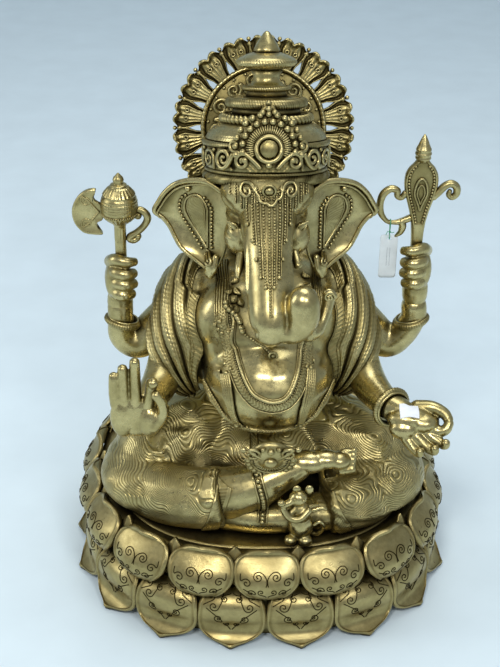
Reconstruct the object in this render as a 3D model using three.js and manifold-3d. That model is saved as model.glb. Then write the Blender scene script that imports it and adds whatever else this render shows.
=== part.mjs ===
// Seated elephant-headed deity statue in cast brass, on a double lotus base.
// Millimetres, +Z up, front towards -Y, origin at the centre of the base's underside.
// "Right" and "left" are the figure's own, so its right side is at -X.

import * as THREE from 'three';
import { mergeVertices } from 'three/addons/utils/BufferGeometryUtils.js';
import Module from 'manifold-3d';

const wasm = await Module();
wasm.setup();

// ---------------------------------------------------------------- driving dimensions
const GAP = 0.3;                 // clearance between neighbouring castings
const BASE_RADIUS = 222;         // nominal radius of the lotus base's plan, at its petal tips
const PETAL_COUNT = 18;          // petals in each tier
const PLAN_EXPONENT = 2.4;       // of the base's rounded-square plan
const LOWER_TIER_TOP = 58.7;
const UPPER_TIER_BOTTOM = LOWER_TIER_TOP + GAP;
const UPPER_TIER_TOP = 112;
const SEAT_TOP = 102;
const SEAT_THICKNESS = 6;
const SEAT_RADIUS = 170;
const LEDGE_WIDTH = 12;          // ledges that carry the seat and the upper tier
const BOLT_PLACES = [[-70, -20], [70, -20]];     // up through the seat into the hip casting
const BOLT_RADIUS = 5;
const BOLT_TIP = 124;
const BOLT_HEAD_RADIUS = 9;
const BOLT_HEAD_HEIGHT = 7;
const BOSS_RADIUS = 14;
const BOSS_TOP = 150;
const CASTING_WALL = 5;          // wall of the hollow body castings
const CROWN_WALL = 4;
const CROWN_AXIS_Y = 5;
const CROWN_LEAN = 15 * Math.PI / 180;     // the crown and halo lean back on the bowed head
const CROWN_PIVOT_Z = 455;       // heights on the crown and halo are measured before they lean
const CROWN_BOTTOM = 452;
const BAND_TOP = 498;
const BAND_RADIUS = 65;
const DOME_TOP = 523;
const LOWER_TOP = 541;
const UPPER_TOP = 568;
const UMBRELLA_TOP = 586;
const CROWN_TIP = 607;
const HALO_CENTRE_Z = 501;
const HALO_RADIUS = 100;
const HALO_DISC_RADIUS = 65;
const HALO_SCREW_Z = [490, 468];
const HALO_FRONT_Y = 72;
const HALO_THICKNESS = 8;
const HALO_LOBES = 18;
const REAR_HAND_Y = 10;          // plane of the rear hands and what they hold
const MACE_X = -156;
const GOAD_X = 166;
const SHAFT_RADIUS = 6;
const LOOP_X = 136;              // wire of the goad's side loop, where the thread hangs
const LOOP_Z = 402;
const LOOP_WIRE = 2.5;
const THREAD_RADIUS = 0.45;
const THREAD_TURN = LOOP_WIRE + GAP + THREAD_RADIUS;
const KNOT_Z = 391;
const TAG_HOLE_Z = 382;
const TAG_WIDTH = 19;
const TAG_LENGTH = 52;
const TAG_THICKNESS = 0.6;

const BRASS = { color: 0x96793a, roughness: 0.35, metalness: 1 };
const STEEL = { color: 0x8a8d90, roughness: 0.45, metalness: 1 };
const PAPER = { color: 0xe9eef2, roughness: 0.8, metalness: 0 };
const THREAD = { color: 0x3f8f5c, roughness: 0.9, metalness: 0 };

// ---------------------------------------------------------------- solids from geometries
const MERGE_TOLERANCE = 1e-3;

function toSolid(geometry) {
  geometry.deleteAttribute('normal');
  geometry.deleteAttribute('uv');
  const merged = mergeVertices(geometry, MERGE_TOLERANCE);
  const index = merged.getIndex().array;
  const kept = [];
  for (let i = 0; i < index.length; i += 3) {
    const [a, b, c] = [index[i], index[i + 1], index[i + 2]];
    if (a !== b && b !== c && c !== a) kept.push(a, b, c);
  }
  const vertProperties = merged.getAttribute('position').array;
  return new wasm.Manifold(new wasm.Mesh({ numProp: 3, vertProperties, triVerts: Uint32Array.from(kept) }));
}

function toGeometry(solid) {
  const mesh = solid.getMesh();
  const geometry = new THREE.BufferGeometry();
  geometry.setAttribute('position', new THREE.BufferAttribute(mesh.vertProperties, mesh.numProp));
  geometry.setIndex(new THREE.BufferAttribute(mesh.triVerts, 1));
  geometry.computeVertexNormals();
  return geometry;
}

const join = (...solids) => solids.reduce((sum, solid) => sum.add(solid));
const cut = (solid, ...tools) => tools.reduce((rest, tool) => rest.subtract(tool), solid);

// The largest body of a cut solid: what falls off beyond the cut is dropped.
function largest(solid) {
  return solid.decompose().reduce((best, body) => (body.volume() > best.volume() ? body : best));
}

// ---------------------------------------------------------------- shape helpers
// Every shape function takes a grow distance: a piece is made at 0, its hollow core at minus
// the wall, and the room that its neighbours leave it at GAP.
function ellipsoid([x, y, z], [rx, ry, rz], grow = 0, around = 10) {
  const sphere = new THREE.SphereGeometry(1, around, Math.round(around * 0.6));
  sphere.rotateX(Math.PI / 2);
  sphere.scale(rx + grow, ry + grow, rz + grow);
  sphere.translate(x, y, z);
  return toSolid(sphere);
}

function box([x, y, z], [width, depth, height]) {
  const block = new THREE.BoxGeometry(width, depth, height);
  block.translate(x, y, z);
  return toSolid(block);
}

// A solid of revolution about a vertical axis, from [radius, z] points.
function turned(profile, x, y, around = 24) {
  const lathe = new THREE.LatheGeometry(profile.map((p) => new THREE.Vector2(...p)), around);
  lathe.rotateX(Math.PI / 2);
  lathe.translate(x, y, 0);
  return toSolid(lathe);
}

const rod = (radius, bottom, top, x, y, around = 12) =>
  turned([[0, bottom], [radius, bottom], [radius, top], [0, top]], x, y, around);

// A round limb of changing radius along a smooth curve: a lathe bent to the curve, with domed ends.
const DOME = [[0, 0.6], [0.6, 0.45]];      // [radius, overhang] of the end rings, in limb radii
function limb(points, radii, grow = 0, sides = 6, steps = 1) {
  const curve = new THREE.CatmullRomCurve3(points.map((p) => new THREE.Vector3(...p)));
  const spans = (points.length - 1) * steps;
  const frames = curve.computeFrenetFrames(spans, false);
  const radiusAt = (i) => {
    const place = (i / spans) * (radii.length - 1);
    const low = Math.min(Math.floor(place), radii.length - 2);
    return THREE.MathUtils.lerp(radii[low], radii[low + 1], place - low) + grow;
  };
  const endRing = (at, way) => ([radius, out]) =>
    ({ at, radius: radius * radiusAt(at), shift: way * out * radiusAt(at) });
  const rings = DOME.map(endRing(0, -1));
  for (let i = 0; i <= spans; i++) rings.push({ at: i, radius: radiusAt(i), shift: 0 });
  rings.push(...[...DOME].reverse().map(endRing(spans, 1)));
  const lathe = new THREE.LatheGeometry(rings.map((ring, i) => new THREE.Vector2(ring.radius, i)), sides);
  const position = lathe.getAttribute('position');
  const vertex = new THREE.Vector3();
  for (let v = 0; v < position.count; v++) {
    vertex.fromBufferAttribute(position, v);
    const { at, shift } = rings[Math.round(vertex.y)];
    const moved = curve.getPointAt(at / spans)
      .addScaledVector(frames.tangents[at], shift)
      .addScaledVector(frames.binormals[at], vertex.x)
      .addScaledVector(frames.normals[at], vertex.z);
    position.setXYZ(v, moved.x, moved.y, moved.z);
  }
  return toSolid(lathe);
}

// A flat plate standing in the XZ plane, its back at y, extruded towards the front.
function plate(outline, y, thickness, curveSegments = 4) {
  const sheet = new THREE.ExtrudeGeometry(outline, { depth: thickness, bevelEnabled: false, curveSegments });
  sheet.rotateX(Math.PI / 2);
  sheet.translate(0, y, 0);
  return toSolid(sheet);
}

function ringAround(centre, axis, radius, wire, around = 12, sides = 5) {
  const torus = new THREE.TorusGeometry(radius, wire, sides, around);
  const turn = new THREE.Quaternion().setFromUnitVectors(
    new THREE.Vector3(0, 0, 1), new THREE.Vector3(...axis).normalize());
  torus.applyQuaternion(turn);
  torus.translate(...centre);
  return toSolid(torus);
}

// The same points on the figure's right (-1) or left (1).
const sided = (side, points) => points.map(([x, y, z]) => [side * x, y, z]);
const BOTH = [-1, 1];
const REACH = 1000;
const below = (z) => box([0, 0, z - REACH / 2], [REACH, REACH, REACH]);

// ---------------------------------------------------------------- lotus base
// Radius factor of the base's plan at an angle.
function planFactor(angle) {
  const sum = Math.abs(Math.sin(angle)) ** PLAN_EXPONENT + Math.abs(Math.cos(angle)) ** PLAN_EXPONENT;
  return sum ** (-1 / PLAN_EXPONENT);
}

// A ring of petals. Its section is a closed loop of [radius, z, scallop, drop] points, pulled
// in by the scallop and lowered by the drop between two petals.
function petalTier(section, tipAngle, stepsPerPetal) {
  const closed = [...section, section[0]];
  const outline = closed.map((_, i) => new THREE.Vector2(1, i));
  const lathe = new THREE.LatheGeometry(outline, PETAL_COUNT * stepsPerPetal);
  const position = lathe.getAttribute('position');
  for (let v = 0; v < position.count; v++) {
    const angle = Math.atan2(position.getX(v), position.getZ(v));
    const [radius, z, scallop, drop] = closed[Math.round(position.getY(v))];
    const turns = ((angle - tipAngle) * PETAL_COUNT) / (2 * Math.PI);
    const off = 2 * Math.abs(turns - Math.round(turns));
    const reach = radius * planFactor(angle) * (1 - scallop * off ** 1.6);
    position.setXYZ(v, reach * Math.sin(angle), -reach * Math.cos(angle), z - drop * off);
  }
  return toSolid(lathe);
}

const LEDGE_RIM = SEAT_RADIUS - LEDGE_WIDTH;
function lowerTier() {
  return petalTier([
    [BASE_RADIUS - 3, 0, 0.1, 0],
    [BASE_RADIUS, 6, 0.1, 0],
    [BASE_RADIUS - 14, 28, 0.07, 0],
    [BASE_RADIUS - 36, LOWER_TIER_TOP, 0, 0],
    [LEDGE_RIM, LOWER_TIER_TOP, 0, 0],
    [LEDGE_RIM, LOWER_TIER_TOP - 6, 0, 0],
    [BASE_RADIUS - 43, LOWER_TIER_TOP - 6, 0, 0],
    [BASE_RADIUS - 14, 0, 0.1, 0],
  ], Math.PI / PETAL_COUNT, 4);
}

function upperTier() {
  const inner = SEAT_RADIUS + 2;
  const ledge = SEAT_TOP - SEAT_THICKNESS - GAP;
  return petalTier([
    [176, UPPER_TIER_BOTTOM, 0, 0],
    [195, 70, 0.08, 0],
    [198, 92, 0.08, 2],
    [194, UPPER_TIER_TOP, 0.06, 12],
    [inner, ledge + 4, 0, 0],
    [inner, ledge, 0, 0],
    [LEDGE_RIM, ledge, 0, 0],
    [LEDGE_RIM, ledge - 6, 0, 0],
    [184, ledge - 12, 0.05, 0],
    [166, UPPER_TIER_BOTTOM, 0, 0],
  ], 0, 3);
}

const SEAT_UNDERSIDE = SEAT_TOP - SEAT_THICKNESS;

// A hexagon-head bolt.
function seatBolt([x, y], grow) {
  const headTop = SEAT_UNDERSIDE - GAP;
  return join(rod(BOLT_HEAD_RADIUS + grow, headTop - BOLT_HEAD_HEIGHT - grow, headTop + grow, x, y, 6),
    rod(BOLT_RADIUS + grow, headTop - 1, BOLT_TIP + grow, x, y, 10));
}

function seatPlate(grow) {
  const [low, high] = [SEAT_UNDERSIDE - grow, SEAT_TOP + grow];
  const profile = [[0, low], [SEAT_RADIUS, low], [SEAT_RADIUS, high], [0, high]];
  const disc = new THREE.LatheGeometry(profile.map((p) => new THREE.Vector2(...p)), 32);
  const position = disc.getAttribute('position');
  for (let v = 0; v < position.count; v++) {
    const [x, z, y] = [position.getX(v), position.getY(v), -position.getZ(v)];
    const factor = planFactor(Math.atan2(x, y));
    position.setXYZ(v, x * factor, y * factor, z);
  }
  return toSolid(disc);
}

// ---------------------------------------------------------------- lower body
const HIP_CENTRE = [0, 0, 160];
const HIP_RADII = [98, 72, 72];
const THIGH = [[35, 8, 160], [90, -30, 146], [138, -58, 134]];
const THIGH_RADII = [56, 50, 38];
const SHIN_RADII = [36, 33, 24, 20];
const RIGHT_SHIN = [[-142, -62, 128], [-92, -112, 134], [-30, -130, 162], [22, -130, 184]];
const LEFT_SHIN = [[142, -62, 128], [98, -116, 126], [40, -132, 134], [-20, -124, 136]];

function hips(grow) {
  const thighs = BOTH.map((side) => limb(sided(side, THIGH), THIGH_RADII, grow));
  return join(ellipsoid(HIP_CENTRE, HIP_RADII, grow), ...thighs);
}

// The hollow hip casting, open underneath, with its two bolt bosses.
function hipCasting() {
  const shell = cut(hips(0), hips(-CASTING_WALL));
  const bosses = BOLT_PLACES.map(([x, y]) => rod(BOSS_RADIUS, SEAT_TOP, BOSS_TOP, x, y));
  return cut(join(shell, ...bosses), below(SEAT_TOP));
}

const rightLeg = (grow) => limb(RIGHT_SHIN, SHIN_RADII, grow, 8);
const leftLeg = (grow) => limb(LEFT_SHIN, SHIN_RADII, grow, 8);
const rightFoot = (grow) => join(
  limb([[20, -131, 184], [52, -133, 191], [84, -128, 188]], [17, 14, 11], grow, 8),
  ellipsoid([92, -126, 185], [13, 12, 8], grow, 8));
const anklet = (grow) => ringAround([30, -131, 187], [1, -0.05, 0.22], 21, 3 + grow);

// ---------------------------------------------------------------- torso and dress
function torso(grow) {
  const shoulders = BOTH.map((side) => ellipsoid([side * 72, 2, 324], [38, 36, 36], grow, 8));
  return join(
    ellipsoid([3, -50, 262], [77, 86, 72], grow, 12),
    ellipsoid([0, -12, 322], [92, 62, 64], grow),
    ...shoulders);
}

// A pleated stole over each shoulder that falls past the upper arm to the waist.
const shawl = (side) => (grow) => join(
  limb(sided(side, [[62, 6, 334], [98, -6, 300], [110, -18, 262], [100, -40, 238]]), [40, 34, 28, 20], grow),
  limb(sided(side, [[70, -30, 350], [84, -56, 300], [84, -62, 245]]), [16, 18, 20], grow));

const waistBelt = (grow) => limb(
  [[-78, -66, 214], [-44, -122, 204], [0, -136, 200], [44, -122, 204], [78, -66, 214]], [7, 7], grow);
const waistMedallion = (grow) => ellipsoid([3, -147, 201], [26, 9, 23], grow, 12);

// Flat garland that hangs from the chest in a U round the belly.
const bellyGarland = (grow) => limb([[-42, -74, 352], [-41, -110, 302], [-33, -128, 264], [0, -135, 244],
  [33, -128, 264], [41, -110, 302], [42, -74, 352]], [6.5, 6.5], grow);
const necklace = (grow) => limb(
  [[-52, -60, 362], [-28, -100, 336], [0, -116, 322], [28, -100, 336], [52, -60, 362]], [5, 5], grow);
const tassel = (side) => (grow) => limb(
  sided(side, [[60, -76, 322], [54, -108, 276], [40, -124, 220]]), [6, 6, 8], grow);

// ---------------------------------------------------------------- head
const TRUNK = [[0, -62, 440], [0, -96, 412], [-1, -122, 382], [6, -142, 358], [30, -149, 350],
  [45, -145, 366], [38, -141, 386]];
const TRUNK_RADII = [44, 38, 28, 22, 18, 16, 12];
const head = (grow) => join(
  ellipsoid([0, -22, 428], [57, 56, 50], grow, 12), limb(TRUNK, TRUNK_RADII, grow, 8));

const EAR_THICKNESS = 9;
function earOutline(side, grow) {
  const ear = new THREE.Shape();
  const at = (x, z) => [side * x, z];
  ear.moveTo(...at(46 - grow, 452 + grow));
  ear.bezierCurveTo(...at(58, 470 + grow), ...at(96, 466 + grow), ...at(118 + grow, 424));
  ear.bezierCurveTo(...at(108 + grow, 408), ...at(88 + grow, 384 - grow), ...at(60, 374 - grow));
  ear.bezierCurveTo(...at(46 - grow, 372), ...at(44 - grow, 400), ...at(46 - grow, 452 + grow));
  return ear;
}
const ear = (side) => (grow) => plate(earOutline(side, grow), grow, EAR_THICKNESS + 2 * grow);

// The figure's right tusk is whole and its left tusk is broken short.
const rightTusk = (grow) => limb([[-34, -92, 398], [-38, -116, 382], [-36, -134, 374]], [8, 6, 3], grow);
const leftTusk = (grow) => limb([[34, -92, 398], [37, -110, 388]], [8, 6], grow);
const foreheadNet = (grow) => limb([[0, -62, 468], [0, -98, 442], [0, -128, 402]], [26, 20, 8], grow, 8);

// ---------------------------------------------------------------- crown
function leaned(solid) {
  const upright = toGeometry(solid);
  upright.translate(0, -CROWN_AXIS_Y, -CROWN_PIVOT_Z);
  upright.rotateX(-CROWN_LEAN);
  upright.translate(0, CROWN_AXIS_Y, CROWN_PIVOT_Z);
  return toSolid(upright);
}
const crownPart = (profile, around = 16) => leaned(turned(profile, 0, CROWN_AXIS_Y, around));

const crownBand = (grow) => crownPart([[0, CROWN_BOTTOM - grow], [57 + grow, CROWN_BOTTOM - grow],
  [BAND_RADIUS + grow, 470], [BAND_RADIUS + grow, BAND_TOP], [0, BAND_TOP]]);
const crownBandCore = () => crownPart([[0, CROWN_BOTTOM - 1], [52, CROWN_BOTTOM - 1], [60, 474],
  [60, BAND_TOP + 1], [0, BAND_TOP + 1]]);

// A stepped tier from its rim up to its flat top, and the core that hollows it from beneath.
const tierShape = (outline, grow) => crownPart([[0, outline[0][1]],
  ...outline.map(([r, z]) => [r + grow, z]), [0, outline.at(-1)[1]]]);
function tierCore(outline) {
  const core = outline.map(([r, z]) => [r - CROWN_WALL, z - CROWN_WALL]);
  return crownPart([[0, core[0][1]], ...core, [0, core.at(-1)[1]]]);
}

const DOME_OUTLINE = [[63, BAND_TOP + GAP], [60, 506], [50, 513], [49, DOME_TOP]];
const LOWER_OUTLINE = [[40, DOME_TOP + GAP], [40, 530], [43, 535], [38, LOWER_TOP]];
const UPPER_OUTLINE = [[26, LOWER_TOP + GAP], [26, 552], [18, 555], [15, 562], [17, UPPER_TOP]];
const UMBRELLA_OUTLINE = [[17, UPPER_TOP + GAP], [31, 573], [31, 579], [22, UMBRELLA_TOP]];
const FINIAL_OUTLINE = [[13, UMBRELLA_TOP + GAP], [11, 592], [6, 600], [2, CROWN_TIP]];

function crownCrest(grow) {
  const crest = new THREE.Shape();
  crest.moveTo(-27 - grow, 466 - grow);
  crest.bezierCurveTo(-42 - grow, 488, -30 - grow, 512, 0, 540 + grow);
  crest.bezierCurveTo(30 + grow, 512, 42 + grow, 488, 27 + grow, 466 - grow);
  return leaned(plate(crest, -48 + grow, 20 + 2 * grow));
}

// ---------------------------------------------------------------- halo
// Point of the halo's plane at a radius and an angle from the top, moved sideways by an offset.
function haloPoint(radius, angle, aside = 0) {
  return new THREE.Vector2(
    radius * Math.sin(angle) + aside * Math.cos(angle),
    HALO_CENTRE_Z + radius * Math.cos(angle) - aside * Math.sin(angle));
}

function discShape(radius) {
  const disc = new THREE.Shape();
  disc.absarc(0, HALO_CENTRE_Z, radius, 0, 2 * Math.PI, false);
  return disc;
}

// Scalloped ring of lobes with a teardrop slot between each two of them.
const LOBE = [[-0.38, HALO_RADIUS - 6], [0, HALO_RADIUS], [0.38, HALO_RADIUS - 6]];
const SLOT = [[73, 0], [80, 3], [86, 0], [80, -3]];
const throughPlate = (shape, segments) =>
  plate(shape, HALO_FRONT_Y + 2 * HALO_THICKNESS, 3 * HALO_THICKNESS, segments);
function haloRing() {
  const pitch = (2 * Math.PI) / HALO_LOBES;
  const rim = [];
  const slots = [];
  for (let i = 0; i < HALO_LOBES; i++) {
    rim.push(...LOBE.map(([part, radius]) => haloPoint(radius, (i + part) * pitch)));
    const slot = SLOT.map(([radius, aside]) => haloPoint(radius, (i + 0.5) * pitch, aside));
    slots.push(throughPlate(new THREE.Shape(slot)));
  }
  const sheet = plate(new THREE.Shape(rim), HALO_FRONT_Y + HALO_THICKNESS, HALO_THICKNESS);
  return leaned(cut(sheet, throughPlate(discShape(HALO_DISC_RADIUS + GAP), 9), ...slots));
}

// The middle disc stands on two bosses that reach the crown, each held by a screw.
const haloBoss = (z) => limb([[0, HALO_FRONT_Y + 2, z], [0, 60, z]], [9, 9], 0, 8);
const haloDisc = () => leaned(join(
  plate(discShape(HALO_DISC_RADIUS), HALO_FRONT_Y + 6, 6, 9), ...HALO_SCREW_Z.map(haloBoss)));
const haloScrew = (z) => (grow) => leaned(join(
  limb([[0, HALO_FRONT_Y + 9, z], [0, 66, z]], [3, 3], grow, 8),
  ellipsoid([0, HALO_FRONT_Y + 6 + GAP + 3, z], [7, 3, 7], grow, 8)));

// ---------------------------------------------------------------- arms and hands
const UPPER_ARM = [[74, 0, 322], [104, -10, 288], [116, -30, 252], [123, -66, 236], [132, -106, 232]];
const frontArm = (side) => (grow) => limb(sided(side, UPPER_ARM), [30, 27, 23, 20, 15], grow, 8);

const REAR_ARM = [[84, 22, 300], [122, 22, 268], [150, 14, 248], [163, REAR_HAND_Y, 276],
  [162, REAR_HAND_Y, 316]];
const rearArm = (side) => (grow) => join(
  limb(sided(side, REAR_ARM), [24, 22, 20, 14, 13], grow),
  ellipsoid([side < 0 ? MACE_X : GOAD_X + 2, REAR_HAND_Y, 336], [19, 18, 24], grow));
const rearBangle = (side) => (grow) => ringAround(
  [side * 163.5, REAR_HAND_Y, 279], [side * 0.05, 0, 1], 20, 4 + grow);
const frontBangle = (grow) => ringAround([131, -102, 233], [0.25, -1, -0.05], 21, 4 + grow);

// Raised right hand, palm forward.
function raisedHand(grow) {
  const fingers = [[-146, -159, 298], [-140, -147, 309], [-134, -135, 313]].map(([root, tip, top]) =>
    limb([[root, -130, 266], [tip, -132, top]], [7, 5], grow));
  return join(
    ellipsoid([-137, -128, 250], [26, 11, 30], grow),
    limb([[-122, -130, 268], [-121, -136, 288], [-122, -143, 296]], [6.5, 6, 5], grow),
    limb([[-120, -128, 244], [-108, -134, 262], [-110, -140, 276]], [8, 7, 5], grow),
    ...fingers);
}

// Open left hand, palm up, with thumb and forefinger closed in a ring.
const FINGER_RING = [[158, -118, 230], [172, -108, 238], [190, -112, 240], [196, -124, 236],
  [188, -136, 232], [170, -138, 228]];
function openHand(grow) {
  const fingers = [0, 1, 2].map((i) =>
    limb([[150, -130 - 8 * i, 224], [184 - 6 * i, -146 - 7 * i, 214]], [6.5, 5], grow));
  return join(
    ellipsoid([152, -122, 226], [24, 20, 11], grow),
    limb(FINGER_RING, [7, 6, 5.5, 5, 5.5, 7], grow),
    ...fingers);
}

const priceSticker = () => box([150, -124, 238.2], [20, 15, 0.5]);

// ---------------------------------------------------------------- what the rear hands hold
const maceShaft = (grow) => rod(SHAFT_RADIUS + grow, 306 - grow, 398 + grow, MACE_X, REAR_HAND_Y, 10);
const goadShaft = (grow) => rod(SHAFT_RADIUS + grow, 312 - grow, 412 + grow, GOAD_X, REAR_HAND_Y, 10);

const POT_BOTTOM = 398 + GAP;
const macePot = (grow) => turned([[0, POT_BOTTOM - grow], [14 + grow, POT_BOTTOM - grow], [21 + grow, 414],
  [20 + grow, 430], [9 + grow, 442], [7 + grow, 450], [0, 461 + grow]], MACE_X, REAR_HAND_Y, 14);

function axeBlade(grow) {
  const blade = new THREE.Shape();
  blade.moveTo(MACE_X - 12, 407);
  blade.bezierCurveTo(MACE_X - 28, 408, MACE_X - 30, 396, MACE_X - 20, 388);
  blade.bezierCurveTo(MACE_X - 40, 390, -208, 398, -207, 414);
  blade.bezierCurveTo(-208, 430, MACE_X - 40, 440, MACE_X - 22, 441);
  blade.bezierCurveTo(MACE_X - 32, 434, MACE_X - 28, 422, MACE_X - 12, 422);
  return plate(blade, REAR_HAND_Y + 4 + grow, 8 + 2 * grow);
}

const maceScroll = (grow) => limb([[MACE_X + 4, REAR_HAND_Y, 386], [MACE_X + 20, REAR_HAND_Y, 384],
  [MACE_X + 26, REAR_HAND_Y, 398], [MACE_X + 24, REAR_HAND_Y, 416], [MACE_X + 30, REAR_HAND_Y, 426]],
  [4.5, 4.5, 4, 4.5, 6], grow);

function goadPaddle(grow) {
  const leaf = new THREE.Shape();
  const bottom = 412 + GAP - grow;
  leaf.moveTo(GOAD_X - 7 - grow, bottom);
  leaf.bezierCurveTo(GOAD_X - 26 - grow, 430, GOAD_X - 24 - grow, 460, GOAD_X, 476 + grow);
  leaf.bezierCurveTo(GOAD_X + 24 + grow, 460, GOAD_X + 26 + grow, 430, GOAD_X + 7 + grow, bottom);
  return plate(leaf, REAR_HAND_Y + 6 + grow, 12 + 2 * grow);
}

const goadFinial = (grow) => turned([[0, 472 - grow], [5 + grow, 472 - grow], [11 + grow, 482],
  [9 + grow, 488], [4 + grow, 494], [0, 503 + grow]], GOAD_X, REAR_HAND_Y, 12);

// The side loop's wire runs along X at its lowest point, where the tag's thread hangs.
const LOOP_RADIUS = 9;
function goadLoop(grow) {
  const eyeCentre = [LOOP_X, REAR_HAND_Y, LOOP_Z + LOOP_RADIUS];
  const eye = ringAround(eyeCentre, [0, 1, 0], LOOP_RADIUS, LOOP_WIRE + grow, 12, 6);
  const stem = limb([[GOAD_X - 4, REAR_HAND_Y, 404], [GOAD_X - 13, REAR_HAND_Y, 407],
    [LOOP_X + LOOP_RADIUS, REAR_HAND_Y, 414]], [4, 3.5, 3], grow);
  const crest = limb([[LOOP_X - 6, REAR_HAND_Y, 419], [LOOP_X - 12, REAR_HAND_Y, 428],
    [LOOP_X - 8, REAR_HAND_Y, 437]], [3, 4, 3], grow);
  return join(eye, stem, crest);
}

const goadScroll = (grow) => limb([[GOAD_X + 4, REAR_HAND_Y, 404], [GOAD_X + 22, REAR_HAND_Y, 404],
  [GOAD_X + 28, REAR_HAND_Y, 420], [GOAD_X + 36, REAR_HAND_Y, 434], [GOAD_X + 30, REAR_HAND_Y, 446]],
  [4.5, 4.5, 4, 5, 5], grow);

// ---------------------------------------------------------------- mouse
const mouse = (grow) => join(
  ellipsoid([38, -170, 127], [13, 12, 22], grow, 8),
  ellipsoid([27, -173, 154], [14, 10, 10], grow, 8),
  limb([[20, -174, 153], [8, -175, 150]], [7, 4], grow),
  ellipsoid([32, -168, 165], [5, 4, 7], grow, 8),
  limb([[30, -178, 136], [12, -177, 140]], [5, 4], grow),
  limb([[36, -174, 108], [18, -176, 107]], [6, 5], grow),
  limb([[48, -169, 110], [60, -171, 112], [64, -170, 124]], [4, 3.5, 3], grow));

// ---------------------------------------------------------------- hanging tag
// The thread leaves the knot, goes down through the tag's hole, up behind, over the loop's
// wire and down in front to the knot again.
const KNOT_Y = REAR_HAND_Y - 1.4;
const THREAD_ROUTE = [
  [KNOT_Y, KNOT_Z - 1.8], [8.0, KNOT_Z - 4], [7.9, TAG_HOLE_Z + 2.2], [8.6, TAG_HOLE_Z + 0.6],
  [10, TAG_HOLE_Z], [11.4, TAG_HOLE_Z + 0.6], [12.1, TAG_HOLE_Z + 2.2], [11.6, KNOT_Z - 4],
  [10.9, KNOT_Z], [11.8, KNOT_Z + 4], [13.1, LOOP_Z - 2], [13.25, LOOP_Z],
  [12.3, LOOP_Z + 2.3], [10, LOOP_Z + THREAD_TURN], [7.7, LOOP_Z + 2.3], [6.75, LOOP_Z],
  [6.9, LOOP_Z - 2], [7.9, KNOT_Z + 4], [KNOT_Y, KNOT_Z + 1.8],
];
const THREAD_STEPS = 30;

function tagThread() {
  const route = new THREE.CatmullRomCurve3(THREAD_ROUTE.map(([y, z]) => new THREE.Vector3(LOOP_X, y, z)));
  const section = new THREE.Shape();
  section.absarc(0, 0, THREAD_RADIUS, 0, 2 * Math.PI, false);
  const sweep = { steps: THREAD_STEPS, curveSegments: 4, extrudePath: route };
  return toSolid(new THREE.ExtrudeGeometry(section, sweep));
}

const threadKnot = () => ellipsoid([LOOP_X, KNOT_Y, KNOT_Z], [1.6, 1.5, 1.4], 0, 6);

const TAG_HEAD = 5;                        // from the tag's hole to its top edge, and its clipped corners
function hangTag() {
  const top = TAG_HOLE_Z + TAG_HEAD;
  const bottom = top - TAG_LENGTH;
  const [left, right] = [LOOP_X - TAG_WIDTH / 2, LOOP_X + TAG_WIDTH / 2];
  const card = new THREE.Shape();
  card.moveTo(left, bottom);
  card.lineTo(right, bottom);
  card.lineTo(right, top - TAG_HEAD);
  card.lineTo(right - TAG_HEAD, top);
  card.lineTo(left + TAG_HEAD, top);
  card.lineTo(left, top - TAG_HEAD);
  const hole = new THREE.Path();
  hole.absarc(LOOP_X, TAG_HOLE_Z + 0.4, 2, 0, 2 * Math.PI, true);
  card.holes.push(hole);
  return plate(card, REAR_HAND_Y + TAG_THICKNESS / 2, TAG_THICKNESS);
}

// ---------------------------------------------------------------- assembly
const statue = new THREE.Group();

function place(name, solid, finish) {
  const mesh = new THREE.Mesh(toGeometry(solid), new THREE.MeshStandardMaterial(finish));
  mesh.name = name;
  statue.add(mesh);
}

// Pieces are fitted in order: each gives way, by GAP, to those already in place. The upper tier
// reserves no room, because the bolts and the seat plate are sized to clear it.
const fitted = [];
const boxesMeet = (a, b) => [0, 1, 2].every((k) => a.min[k] < b.max[k] && b.min[k] < a.max[k]);
function fit(name, shape, { finish = BRASS, made = shape(0), reserved = true } = {}) {
  const bounds = made.boundingBox();
  const inTheWay = fitted.filter((other) => boxesMeet(bounds, other.boundingBox()));
  place(name, largest(cut(made, ...inTheWay)), finish);
  if (reserved) fitted.push(shape(GAP));
}

const hollow = (shape) => cut(shape(0), shape(-CASTING_WALL));
const hollowTier = (outline) => cut(tierShape(outline, 0), tierCore(outline));

fit('lotus_lower_tier', lowerTier);
fit('lotus_upper_tier', upperTier, { reserved: false });
fit('seat_bolt_right', (grow) => seatBolt(BOLT_PLACES[0], grow), { finish: STEEL });
fit('seat_bolt_left', (grow) => seatBolt(BOLT_PLACES[1], grow), { finish: STEEL });
fit('seat_plate', seatPlate);
fit('dhoti_hips', hips, { made: hipCasting() });
fit('dhoti_right_leg', rightLeg, { made: hollow(rightLeg) });
fit('dhoti_left_leg', leftLeg, { made: hollow(leftLeg) });
fit('right_foot', rightFoot);
fit('anklet', anklet);
fit('torso', torso, { made: hollow(torso) });
fit('head_and_trunk', head, { made: hollow(head) });
fit('waist_medallion', waistMedallion);
fit('waist_belt', waistBelt);
fit('belly_garland', bellyGarland);
fit('necklace', necklace);
fit('mouse', mouse);
fit('right_tusk', rightTusk);
fit('left_tusk', leftTusk);
fit('crown_band', crownBand, { made: cut(crownBand(0), crownBandCore()) });
fit('crown_dome', (grow) => tierShape(DOME_OUTLINE, grow), { made: hollowTier(DOME_OUTLINE) });
fit('crown_lower_tier', (grow) => tierShape(LOWER_OUTLINE, grow), { made: hollowTier(LOWER_OUTLINE) });
fit('crown_upper_tier', (grow) => tierShape(UPPER_OUTLINE, grow));
fit('crown_umbrella', (grow) => tierShape(UMBRELLA_OUTLINE, grow));
fit('crown_finial', (grow) => tierShape(FINIAL_OUTLINE, grow));
fit('forehead_net', foreheadNet);
fit('crown_crest', crownCrest);
fit('halo_screw_upper', haloScrew(HALO_SCREW_Z[0]), { finish: STEEL });
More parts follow.
